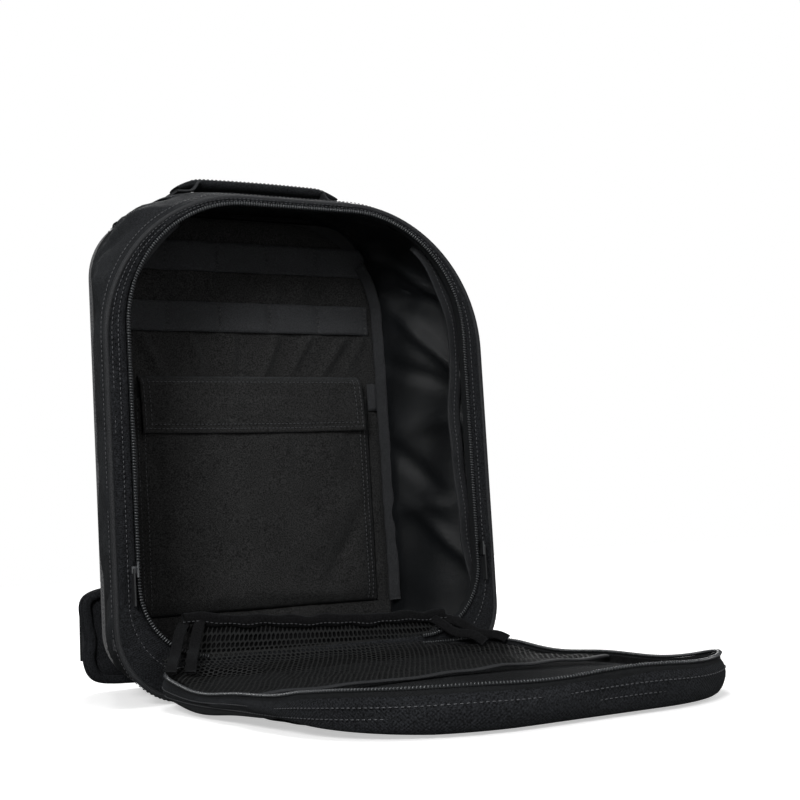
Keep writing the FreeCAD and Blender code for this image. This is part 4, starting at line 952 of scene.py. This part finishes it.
# ------------------------------------------------------------------ front panel
def make_panel():
    """The panel's cloth shell, its lining, stitching and the full outer pocket under it."""
    outline = arch(146.2, 34.7, 376.2, 98.6, 56)
    lift = HINGE[2] - HINGE[1]
    u = round_run(outline)
    grid = []
    far = np.clip((outline[:, 1] - 250) / 110, 0, 1)
    # from the zip's rim down the band to the face, and how far the band bows out at each height
    rim, band = 23.6, 14.6
    heights = (rim, 22.6, 21.0, 19.0, 17.0, 15.0, 13.0, 11.2, 9.8, 9.0, 9.2, 10.6, 12.2)
    bows = (0.0, 1.2, 2.4, 2.9, 3.0, 2.8, 2.2, 1.2, -0.4, -2.6, -5.2, -9.0, -14.0)
    for z, bow in zip(heights, bows):
        share = min(1.0, (rim - z) / band)
        soft = math.sin(math.pi * share)
        deep = 6.8 * far * share
        wave = ripple(u, 0 * u + z * 3, 66, 1.0, 41) + creases(u, 0 * u + z, [
            (1080, 14, 20, 40, 5, 1.6), (990, 12, -20, 46, 5, -1.8), (900, 14, 16, 46, 5, 1.6),
            (820, 12, -14, 40, 5, -1.6), (700, 13, 10, 40, 5, 1.5), (620, 12, -12, 40, 5, -1.4)])
        grid.append(stood(inset(outline, -bow - np.clip(wave, -2.4, 2.0) * soft),
                          z - lift - deep + 0.5 * ripple(u, 0 * u, 80, 1.0, 44) * soft))
    centre = np.array([0, 215.0])
    last = inset(outline, 16)
    for k in np.linspace(0.98, 0.02, 30):
        flat = centre + (last - centre) * k
        z = 12.6 + ripple(flat[:, 0], flat[:, 1], 60, 0.25, 42)
        grid.append(stood(flat, np.maximum(z, 12.0) - lift))
    grid = slump(folded(np.stack(grid)))
    skin("panel_cloth", grid, "cloth", "front_panel", away=(0, -240, 30), ring=True, thick=1.4,
         slot="shell_fabric", replaces="panel_shell", pole=-1)
    inner = []
    for z in (23.4, 21.0, 18.0, 16.0):
        inner.append(stood(inset(outline, 2.4), z - lift))
    for k in np.linspace(0.975, 0.02, 24):
        flat = centre + (inset(outline, 3.0) - centre) * k
        inner.append(stood(flat, 15.6 + ripple(flat[:, 0], flat[:, 1], 45, 0.3, 43) - lift))
    # the panel's lining takes the near-black finish: partly its own black, partly painted shade behind the
    # net
    item = skin("panel_lining", slump(folded(np.stack(inner))), "black_and_painted_shade", "front_panel",
                away=(0, -240, 60), ring=True, slot="lining", pole=-1)
    item.data.flip_normals()
    up = folded_directions(stood(outward(outline), 0.0))[OPEN_RUN]
    runs = []
    for z, out in ((17.4, 3.9), (11.4, 2.2)):
        runs.append((slump(folded(stood(inset(outline, -out), z - lift)))[OPEN_RUN], up))
    stitch("stitches_panel", runs, "front_panel")

    pocket = arch(129, 50, 314, 80, 60)
    grid = []
    for z, out in ((11.6, -3.0), (10.4, 0.6), (8.8, 2.6), (6.8, 3.4), (4.8, 2.6), (3.0, 0.4), (1.7, -3.0),
                   (0.9, -8.0)):
        wave = ripple(u, 0 * u + 3 * z, 56, 1.1, 51) * (z < 11)
        grid.append(stood(inset(pocket, -out - wave), z - lift))
    middle = np.array([0, 180.0])
    last = inset(pocket, 8.0)
    for k in np.linspace(0.95, 0.02, 26):
        flat = middle + (last - middle) * k
        grid.append(stood(flat, np.maximum(0.35, 0.7 + ripple(flat[:, 0], flat[:, 1], 50, 0.2, 52)) - lift))
    skin("outer_pocket_cloth", folded(np.stack(grid)), "cloth", "front_panel", away=(0, -220, 20),
         ring=True, thick=1.2, slot="shell_fabric", replaces="outer_pocket", pole=-1)


def slump(points):
    """The laid-down panel's soft rim: it sags in z by up to 8 mm along both long sides and
    rises 1.5 mm at its far end; the face underneath keeps to the pocket."""
    x, y, z = points[..., 0], points[..., 1], points[..., 2]
    way = np.clip((-y - 70) / 340, 0, 1)
    left = np.clip(-x / 147, 0, 1) ** 1.5
    right = np.clip(x / 147, 0, 1) ** 1.5
    fall = 8.0 * left * np.sin(math.pi * np.clip(way * 1.35, 0, 1)) ** 1.2
    fall = fall + 7.0 * right * np.sin(math.pi * np.clip(way, 0, 1)) ** 1.2
    rise = 1.5 * np.clip((way - 0.5) / 0.5, 0, 1) ** 1.5 * (1 - 0.45 * right)
    wave = 1.2 * np.sin(y / 21) * np.abs(x / 147) + 0.9 * np.sin(x / 19) * way ** 3
    share = np.clip((z - 6) / 17, 0, 1.1)
    return xyz(x, y, z + (rise - fall + wave) * share)


def make_net():
    """Knitted net from the bound fin at the hinge over the panel, with its bindings.

    Hexagonal holes on a flat cut, each a ring of six quads, laid on a sagging surface.
    """
    size = sizes()
    pitch, yarn = size.net_pitch / MM, size.net_yarn / MM
    width, reach = 282.0, 196.0
    count = (int(reach / (pitch * 0.866)), int(width / pitch))
    row, col = np.indices(count)
    cx = (col + 0.5 * (row % 2)) * pitch - width / 2 + pitch / 2
    cy = row * pitch * 0.866 + pitch / 2
    turn = np.radians(30 + 60 * np.arange(6))
    outer = pitch / math.sqrt(3)
    hole = outer - yarn / math.sqrt(3) * 1.1
    rim_x = cx[..., None] + outer * np.cos(turn)
    rim_y = cy[..., None] + outer * np.sin(turn)
    in_x = cx[..., None] + hole * np.cos(turn)
    in_y = cy[..., None] + hole * np.sin(turn)
    a = np.concatenate([rim_x, in_x], 2).reshape(-1)
    b = np.concatenate([rim_y, in_y], 2).reshape(-1)
    cells = count[0] * count[1]
    start = np.arange(cells)[:, None] * 12
    k = np.arange(6)
    n = (k + 1) % 6
    faces = np.stack([start + k, start + n, start + n + 6, start + k + 6], 2).reshape(-1, 4)
    points = net_surface(a, b)
    item = piece("net_pocket", points, faces.tolist(), "net", "front_panel", slot="net",
                 replaces="mesh_pocket")
    item.parent = None
    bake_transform(item)
    low, high = span("mesh_binding")
    x = np.linspace(low[0] + 3, high[0] - 3, 90)
    path = net_surface(x, 0 * x + reach) + np.array([0, 0, 0.4])
    strip("net_mouth_binding", path, 8.0, 2.2, UP, "binding", "front_panel", slot="binding",
          replaces="mesh_binding", power=3.0)


def net_surface(a, b):
    """Where the net's cut point (a, b) hangs: down from the fin, then out over the panel.

    b runs down 24 mm behind the fin, round a soft bend, and out along -y; the net sags by
    a parabola across its width and ripples on the way.
    """
    drop = 24.0
    out = np.maximum(b - drop * 0.6, 0)
    y = -62.5 - 0.96 * out - 1.2 * np.clip(b / drop, 0, 1)
    z = 52.0 - (52.0 - 22.6) * (1 - np.exp(-b / drop * 1.9))
    sag = 5.0 * (1 - (a / 141) ** 2) * np.clip(out / 50, 0, 1)
    z = z - sag - 1.6 * (1 - (a / 141) ** 2) * np.exp(-b / 30)
    folds = creases(a, b, [
        (-96, 40, 40, 40, 8, 3.0), (96, 40, 140, 40, 8, 3.0), (-40, 60, 100, 40, 9, -2.0),
        (60, 70, 70, 40, 9, 2.0)])
    z = z + (ripple(a, b, 52, 1.3, 61) + folds) * np.clip(out / 30, 0, 1)
    x = a * (1 - 0.18 * np.exp(-b / 18))
    z = z - x / FIN_FALL * np.exp(-b / 22)
    return slump(xyz(x, y, np.maximum(z, 16.6)))


def make_hinge():
    """Bound fin along the hinge, a cloth under it, and the short bindings that close the net's two sides,
    all near black as painted shade of the hollow at the hinge.
    """
    half = 113.0
    x = np.linspace(-half, half, 150)
    dip = 3.2 * (1 - (x / half) ** 2)
    wave = 0.7 * np.sin(x / 9) + 0.5 * np.sin(x / 4.1 + 1)
    path = xyz(x, -62.4 + 0.6 * wave, 54.0 - x / FIN_FALL - dip + 0.8 * wave)
    edge = oval(6.4, 9.5, 16, 2.6)
    grow = 1 + 0.12 * np.sin(x / 5.3)
    # the bound fin is near black as painted shade of the hollow under it
    skin("fin_binding", sweep(path, edge[None] * grow[:, None, None], UP), "black_and_painted_shade", "pack",
         ring=True, cap=True, slot="binding", replaces="hinge_binding")
    stitch("stitches_fin", [(path + np.array([0, -3.4, -2.2]), FRONT)], "pack")
    # near-black sheet under the fin: painted shade that darkens the hollow behind the net
    z = np.linspace(35.0, 51.0, 10)
    x, z = np.meshgrid(x, z)
    reach = 1 - 0.12 * np.clip((51 - z) / 16, 0, 1)
    grid = xyz(x * reach, -60.6 + 1.2 * np.sin(x / 12) * (51 - z) / 16,
               z - 2.6 * (1 - (x / half) ** 2) - x / FIN_FALL * (z - 35) / 16)
    skin("fin_cloth_in_painted_shade", grid, "black_and_painted_shade", "pack", towards=FRONT, thick=1.0, offset=0)
    t = np.linspace(0, 1, 30)
    for side, name in ((-1, "left"), (1, "right")):
        for count, (start, reach, foot) in enumerate(((112, 30, 46), (99, 26, 40))):
            z = 51 - side * 6.6 - (25.5 - side * 6.6) * t ** 0.8 + 1.6 * np.sin(t * 9 + count)
            path = xyz(side * (start + reach * t ** 0.8), -64 - foot * t, z)
            # the net's side bindings are near black as painted shade at both ends of the hinge
            item = strip("net_side_binding_%s_%d" % (name, count + 1), path, 8.0, 2.0,
                         (-0.3, -0.8, 0.5), "black_and_painted_shade", "front_panel", slot="binding", power=3.0)
            item.parent = None
            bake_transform(item)


# ------------------------------------------------------------------ handle
def make_handle():
    """Padded grip wrapped in cloth, its webbing anchors and the box stitching that holds them."""
    low, high = span("grab_handle")
    x = np.linspace(low[0] - 18, high[0] + 18, 70)
    t = np.linspace(0, 1, 70)
    end = np.minimum(t, 1 - t)
    swell = 0.42 + 0.58 * np.clip(end * 7, 0, 1) ** 0.7
    droop = 4.6 * np.clip((np.abs(x) - 57) / 16, 0, 1) ** 1.4
    path = xyz(x, (low[1] + high[1]) / 2, 410.2 + 1.2 * np.sin(math.pi * t) - droop)
    profile = oval(22, 9.0, 20, 2.4)[None] * np.stack([0.9 + 0.1 * swell, swell], 1)[:, None]
    grid = sweep(path, profile, UP)
    item = skin("handle_grip", grid, "cloth", "handle", ring=True, cap=True, slot="shell_fabric",
                replaces="grab_handle")
    lift = (4.3 * swell)[6:-6, None] * np.array([0, 0, 1.0])
    stitch("stitches_handle", [
        (path[6:-6] + lift + np.array([0, 7.0, -0.3]), UP),
        (path[6:-6] + lift + np.array([0, -7.0, -0.3]), UP)], "handle")
    for side, name in ((-1, "left"), (1, "right")):
        a, b = span("handle_anchor_" + name)
        run = np.array([[side * 55.6, 0, 411.0], [side * 57.5, 0, 410.0], [side * 59.5, 0, 406.5],
                        [side * 62.5, 0, 403.6], [side * 68, 0, 402.4], [side * 76.5, 0, 401.9]])
        run = smooth_path(run, 30)
        run[:, 1] = (a[1] + b[1]) / 2
        strip("handle_anchor_web_" + name, run, b[1] - a[1], 2.2, (side * 0.6, 0, 0.8), "webbing", "pack",
              slot="webbing", replaces="handle_anchor_" + name)
        box = []
        for shift in (-10, 10):
            line = xyz(side * np.linspace(64, 75, 6), 15 + shift, 403.8 - 0.1 * np.arange(6))
            box.append((line, UP))
        stitch("stitches_anchor_" + name, box, "pack")


# ------------------------------------------------------------------ carrying side
def make_carrying_side():
    """Back pad, shoulder yoke and straps, adjusters' tails and the chest strap."""
    low, high = span("back_pad")
    channels = [(0, 1, z, 3.2, 2.6) for z in (150, 204, 250, 304)] + [(1, 0, 0, 5.0, 2.4)]
    cushion("back_pad_foam", low, high, "spacer", "pack", corner=26, crown=2.5, pull=3.0, fill=0.5,
            channels=channels, slot="padding", replaces="back_pad")
    low, high = span("shoulder_yoke")
    cushion("yoke_cloth", low, high, "cloth_pad", "pack", corner=9, crown=2.0, pull=1.0, fill=0.5,
            cap=0.003, channels=[(0, 1, 379, 2.0, 1.6)], slot="shell_fabric",
            replaces="shoulder_yoke")
    for side, name in ((-1, "left"), (1, "right")):
        low, high = span("shoulder_strap_" + name)
        middle = (low[0] + high[0]) / 2
        radius, spread = 343.0, math.asin(131 / 343)
        angle = np.linspace(-spread, 0.955 * spread, 90)
        path = xyz(middle + 3 * np.sin((angle / spread) * math.pi),
                   -233.4 + (radius + 6) * np.cos(angle), 263 + (radius + 6) * np.sin(angle))
        up = np.stack([0 * angle, np.cos(angle), np.sin(angle)], 1)
        t = np.linspace(0, 1, 90)
        taper = 1 - 0.32 * np.clip((0.22 - t) / 0.22, 0, 1) ** 1.5
        quilt = 1 - 0.10 * np.exp(-((t * 9 % 1 - 0.5) / 0.12) ** 2)
        quilt = quilt * (0.75 + 0.25 * np.clip(np.minimum(t, 1 - t) * 20, 0, 1))
        profile = oval(58, 11.4, 28, 3.4)[None] * np.stack([taper, quilt], 1)[:, None]
        item = skin("strap_foam_" + name, sweep(path, profile, up), "spacer", "pack", ring=True,
                    cap=True, slot="padding", replaces="shoulder_strap_" + name)
        for edge in (-1, 1):
            rim = path + (edge * 28.5 * taper)[:, None] * np.array([1.0, 0, 0])
            strip("strap_edge_%s_%s" % (name, "outer" if edge * side > 0 else "inner"), rim, 3.4, 9.0, up,
                  "binding", "pack", count=10, power=2.6, slot="binding")
        cap = xyz(np.linspace(low[0] - 4, high[0] + 4, 40), 91.5, 388.6 + 0.5 * np.sin(np.arange(40) / 2.4))
        strip("strap_cap_" + name, cap, 19.0, 12.0, UP, "cloth", "pack", power=3.0, slot="shell_fabric")
        top_face = path + up * 6.6
        strip("strap_webbing_" + name, top_face[6:], 25.4, 1.6, up[6:], "webbing", "pack", slot="webbing")
        run = np.array([[84.6, 104.2], [84.8, 99.5], [82.8, 94.8], [76, 93.2], [66.2, 93.0]])
        run = xyz(middle, run[:, 0], run[:, 1])
        strip("strap_tail_web_" + name, smooth_path(run, 30), 25.4, 1.8, (0, 0.7, -0.7), "webbing",
              "pack", slot="webbing", replaces="strap_tail_" + name)
    for name, body in (("left", "chest_left"), ("right", "pack")):
        low, high = span("chest_webbing_" + name)
        x = np.linspace(low[0], high[0], 30)
        path = xyz(x, (low[1] + high[1]) / 2, (low[2] + high[2]) / 2 + 0.3 * np.sin(x / 9))
        strip("chest_web_" + name, path, high[2] - low[2], 1.8, BACK, "webbing", body, slot="webbing",
              replaces="chest_webbing_" + name)


def make_belt():
    """Lumbar pad and the two padded wings with their webbing."""
    low, high = span("lumbar_pad")
    cushion("lumbar_foam", low, high, "spacer", "pack", corner=14, crown=4.0, pull=1.5, fill=0.7,
            channels=[(1, 0, -14, 3, 2.0), (1, 0, 14, 3, 2.0)], slot="padding", replaces="lumbar_pad")
    for side, name in ((-1, "left"), (1, "right")):
        low, high = span("waist_wing_" + name)
        cushion("wing_foam_" + name, low, high, "cloth_pad", "belt_" + name, corner=13, crown=3.0, pull=1.5,
                fill=0.6, channels=[(0, 1, 28, 3, 1.6), (0, 1, 60, 3, 1.6)], slot="padding",
                replaces="waist_wing_" + name)
        edge = np.array([
            [47, 7.5], [60, 8.5], [104, 8.6], [130, 12.0], [138, 26], [136.5, 43], [139, 58],
            [136, 77.0], [104, 83.2], [60, 82.5], [47, 80.5]])
        for layer, (inset_by, depth) in enumerate(((3.0, 86.5), (1.0, 91.0), (4.0, 95.8))):
            wave = smooth_path(xyz(side * edge[:, 0] - side * inset_by, depth, edge[:, 1]), 90)
            wave[:, 1] += 0.5 * np.sin(np.arange(90) / 7.0 + layer * 2)
            wave[:, 0] += 0.4 * np.sin(np.arange(90) / 6.1 + layer)
            strip("wing_fold_%s_%d" % (name, layer + 1), wave, 7.0, 5.8, BACK, "cloth", "belt_" + name,
                  count=12, power=2.4, slot="binding")
        low, high = span("belt_webbing_" + name)
        x = np.linspace(low[0], high[0], 40)
        path = xyz(x, 100.8, (low[2] + high[2]) / 2 + 0.4 * np.sin(x / 13))
        strip("belt_web_" + name, path, high[2] - low[2], 2.2, BACK, "webbing", "belt_" + name,
              slot="webbing", replaces="belt_webbing_" + name)


def dress_nodes():
    """Finish the rigid CAD pieces that show as they are."""
    for name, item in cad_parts.items():
        finish = "cloth_pad"
        if "slider" in name:
            finish = "metal"
        elif any(word in name for word in ("pull", "buckle", "lock", "frame_sheet")):
            finish = "plastic"
        elif "foam" in name:
            finish = "spacer"
        item.data.materials.clear()
        item.data.materials.append(FINISHES[finish])
        item.data.polygons.foreach_set("use_smooth", np.zeros(len(item.data.polygons), bool))


# ------------------------------------------------------------------ stage
# Lamp: where it stands and what it looks at in metres, its width in metres, its power in watts
LAMPS = {
    "key": ((-1.5, -1.7, 1.15), (0, -0.05, 0.25), 0.7, 46),
    "fill": ((1.2, -1.9, 1.4), (0, 0, 0.2), 1.0, 10),
    "low": ((-0.2, -2.0, 0.35), (0, 0, 0.33), 0.9, 6),
    "top": ((-0.2, -0.3, 2.2), (0, 0.0, 0.1), 0.8, 16),
    "back": ((0.9, 2.0, 1.5), (0, 0.0, 0.2), 0.9, 34),
}
# Camera: lens and distance in mm, angles in degrees, and what it looks at in mm
LENS, DISTANCE = 65.25, 1259.0
AZIMUTH, ELEVATION, ROLL = -30.5, -5.6, -3.4
TARGET = np.array([121.0, 0, 230.3])


def make_stage():
    """Pale floor, soft lamps, white surround and the camera."""
    floor, shader, place = new_finish("painted_board_matt")
    tree = floor.node_tree
    shader.inputs["Roughness"].default_value = 0.35
    shader.inputs["Specular IOR Level"].default_value = 0.3
    shader.inputs["Emission Color"].default_value = (1, 1, 1, 1)
    light = add(floor, "LightPath")
    # The board throws little light back: only its seen face is white
    bounce = add(floor, "MapRange", {"Value": light.outputs["Is Camera Ray"]},
                 {"To Min": 0.22, "To Max": 0.91})
    tree.links.new(bounce.outputs[0], shader.inputs["Base Color"])
    far = add(floor, "VectorMath", {0: place.outputs["Object"]}, operation="LENGTH")
    white = add(floor, "MapRange", {"Value": far.outputs["Value"]},
                {"From Min": 0.45, "From Max": 1.5, "To Min": 0.5, "To Max": 1.1})
    glow = add(floor, "Math", {0: light.outputs["Is Camera Ray"], 1: white.outputs[0]},
               operation="MULTIPLY")
    tree.links.new(glow.outputs[0], shader.inputs["Emission Strength"])
    points = np.array([[-6000, -6000, 0], [6000, -6000, 0], [6000, 6000, 0], [-6000, 6000, 0]], float)
    mesh = bpy.data.meshes.new("floor")
    mesh.from_pydata((points * MM).tolist(), [], [(0, 1, 2, 3)])
    mesh.materials.append(floor)
    item = bpy.data.objects.new("floor", mesh)
    bpy.context.scene.collection.objects.link(item)

    world = bpy.data.worlds.new("studio")
    world.use_nodes = True
    bpy.context.scene.world = world
    tree = world.node_tree
    back = tree.nodes["Background"]
    light = add(world, "LightPath")
    seen = add(world, "Math", {0: light.outputs["Is Camera Ray"], 1: light.outputs["Is Transmission Ray"]},
               operation="MAXIMUM")
    level = add(world, "MapRange", {"Value": seen.outputs[0]}, {"To Min": 0.2, "To Max": 1.0})
    back.inputs["Color"].default_value = (1, 1, 1, 1)
    tree.links.new(level.outputs[0], back.inputs["Strength"])

    for name, (where, aim, width, power) in LAMPS.items():
        lamp = bpy.data.lights.new(name, "AREA")
        lamp.shape = "SQUARE"
        lamp.size = width
        lamp.energy = power
        holder = bpy.data.objects.new(name, lamp)
        bpy.context.scene.collection.objects.link(holder)
        aim_at(holder, np.array(where), np.array(aim))
    camera = bpy.data.cameras.new("camera")
    camera.lens = LENS
    camera.clip_start = 0.05
    holder = bpy.data.objects.new("camera", camera)
    bpy.context.scene.collection.objects.link(holder)
    azimuth, elevation = math.radians(AZIMUTH), math.radians(ELEVATION)
    back = np.array([math.sin(azimuth) * math.cos(elevation), -math.cos(azimuth) * math.cos(elevation),
                     math.sin(elevation)])
    aim_at(holder, (TARGET + back * DISTANCE) * MM, TARGET * MM, ROLL)
    bpy.context.scene.camera = holder
    bpy.context.scene.view_settings.view_transform = "Standard"


def aim_at(item, where, target, roll=0.0):
    """Put a lamp or camera somewhere, its -Z towards a target, turned by roll degrees."""
    item.location = Vector(where.tolist())
    look = Vector((target - where).tolist())
    item.rotation_mode = "QUATERNION"
    turn = look.to_track_quat("-Z", "Y")
    item.rotation_quaternion = turn @ Quaternion((0, 0, 1), math.radians(roll))


# ------------------------------------------------------------------ operators
class BACKPACK_OT_finishes(bpy.types.Operator):
    """Make the finishes and put them on the rigid pieces"""

    bl_idname = "backpack.finishes"
    bl_label = "Finishes"

    def execute(self, context):
        make_finishes()
        dress_nodes()
        return {"FINISHED"}


class BACKPACK_OT_body(bpy.types.Operator):
    """Make the cloth body of the pack"""

    bl_idname = "backpack.body"
    bl_label = "Body"

    def execute(self, context):
        make_body()
        return {"FINISHED"}


class BACKPACK_OT_zips(bpy.types.Operator):
    """Make the zip tapes and coils"""

    bl_idname = "backpack.zips"
    bl_label = "Zips"

    def execute(self, context):
        make_zips()
        return {"FINISHED"}


class BACKPACK_OT_inside(bpy.types.Operator):
    """Make the divider, load rows, pocket and lid"""

    bl_idname = "backpack.inside"
    bl_label = "Inside"

    def execute(self, context):
        make_inside()
        return {"FINISHED"}


class BACKPACK_OT_panel(bpy.types.Operator):
    """Make the fold-down front panel and its outer pocket"""

    bl_idname = "backpack.panel"
    bl_label = "Front panel"

    def execute(self, context):
        make_panel()
        return {"FINISHED"}


class BACKPACK_OT_net(bpy.types.Operator):
    """Make the net, the hinge fin and their bindings"""

    bl_idname = "backpack.net"
    bl_label = "Net and hinge"

    def execute(self, context):
        make_net()
        make_hinge()
        return {"FINISHED"}


class BACKPACK_OT_handle(bpy.types.Operator):
    """Make the grab handle and its anchors"""

    bl_idname = "backpack.handle"
    bl_label = "Grab handle"

    def execute(self, context):
        make_handle()
        return {"FINISHED"}


class BACKPACK_OT_carrying_side(bpy.types.Operator):
    """Make the back pad, shoulder straps and chest strap"""

    bl_idname = "backpack.carrying_side"
    bl_label = "Carrying side"

    def execute(self, context):
        make_carrying_side()
        return {"FINISHED"}


class BACKPACK_OT_belt(bpy.types.Operator):
    """Make the lumbar pad and waist belt"""

    bl_idname = "backpack.belt"
    bl_label = "Waist belt"

    def execute(self, context):
        make_belt()
        return {"FINISHED"}


class BACKPACK_OT_stage(bpy.types.Operator):
    """Make the floor, lamps and camera"""

    bl_idname = "backpack.stage"
    bl_label = "Stage"

    def execute(self, context):
        make_stage()
        return {"FINISHED"}


STEPS = (BACKPACK_OT_finishes, BACKPACK_OT_body, BACKPACK_OT_zips, BACKPACK_OT_inside, BACKPACK_OT_panel,
         BACKPACK_OT_net, BACKPACK_OT_handle, BACKPACK_OT_carrying_side, BACKPACK_OT_belt, BACKPACK_OT_stage)


class BACKPACK_PT_panel(bpy.types.Panel):
    """The backpack's steps, sizes and colours"""

    bl_idname = "BACKPACK_PT_panel"
    bl_label = "Trauma backpack"
    bl_space_type = "VIEW_3D"
    bl_region_type = "UI"
    bl_category = "Backpack"

    def draw(self, context):
        for step in STEPS:
            self.layout.operator(step.bl_idname)
        for group in (context.scene.backpack_sizes, context.scene.backpack_colours):
            for key in group.__annotations__:
                self.layout.prop(group, key)


def register():
    """Register the groups, operators and panel."""
    for item in (BackpackSizes, BackpackColours, *STEPS, BACKPACK_PT_panel):
        bpy.utils.register_class(item)
    bpy.types.Scene.backpack_sizes = bpy.props.PointerProperty(type=BackpackSizes)
    bpy.types.Scene.backpack_colours = bpy.props.PointerProperty(type=BackpackColours)


def unregister():
    """Take them away again."""
    del bpy.types.Scene.backpack_sizes
    del bpy.types.Scene.backpack_colours
    for item in (BACKPACK_PT_panel, *reversed(STEPS), BackpackColours, BackpackSizes):
        bpy.utils.unregister_class(item)


def main():
    """Register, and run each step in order."""
    register()
    for step in STEPS:
        family, label = step.bl_idname.split(".")
        getattr(getattr(bpy.ops, family), label)()


if __name__ == "__main__":
    main()
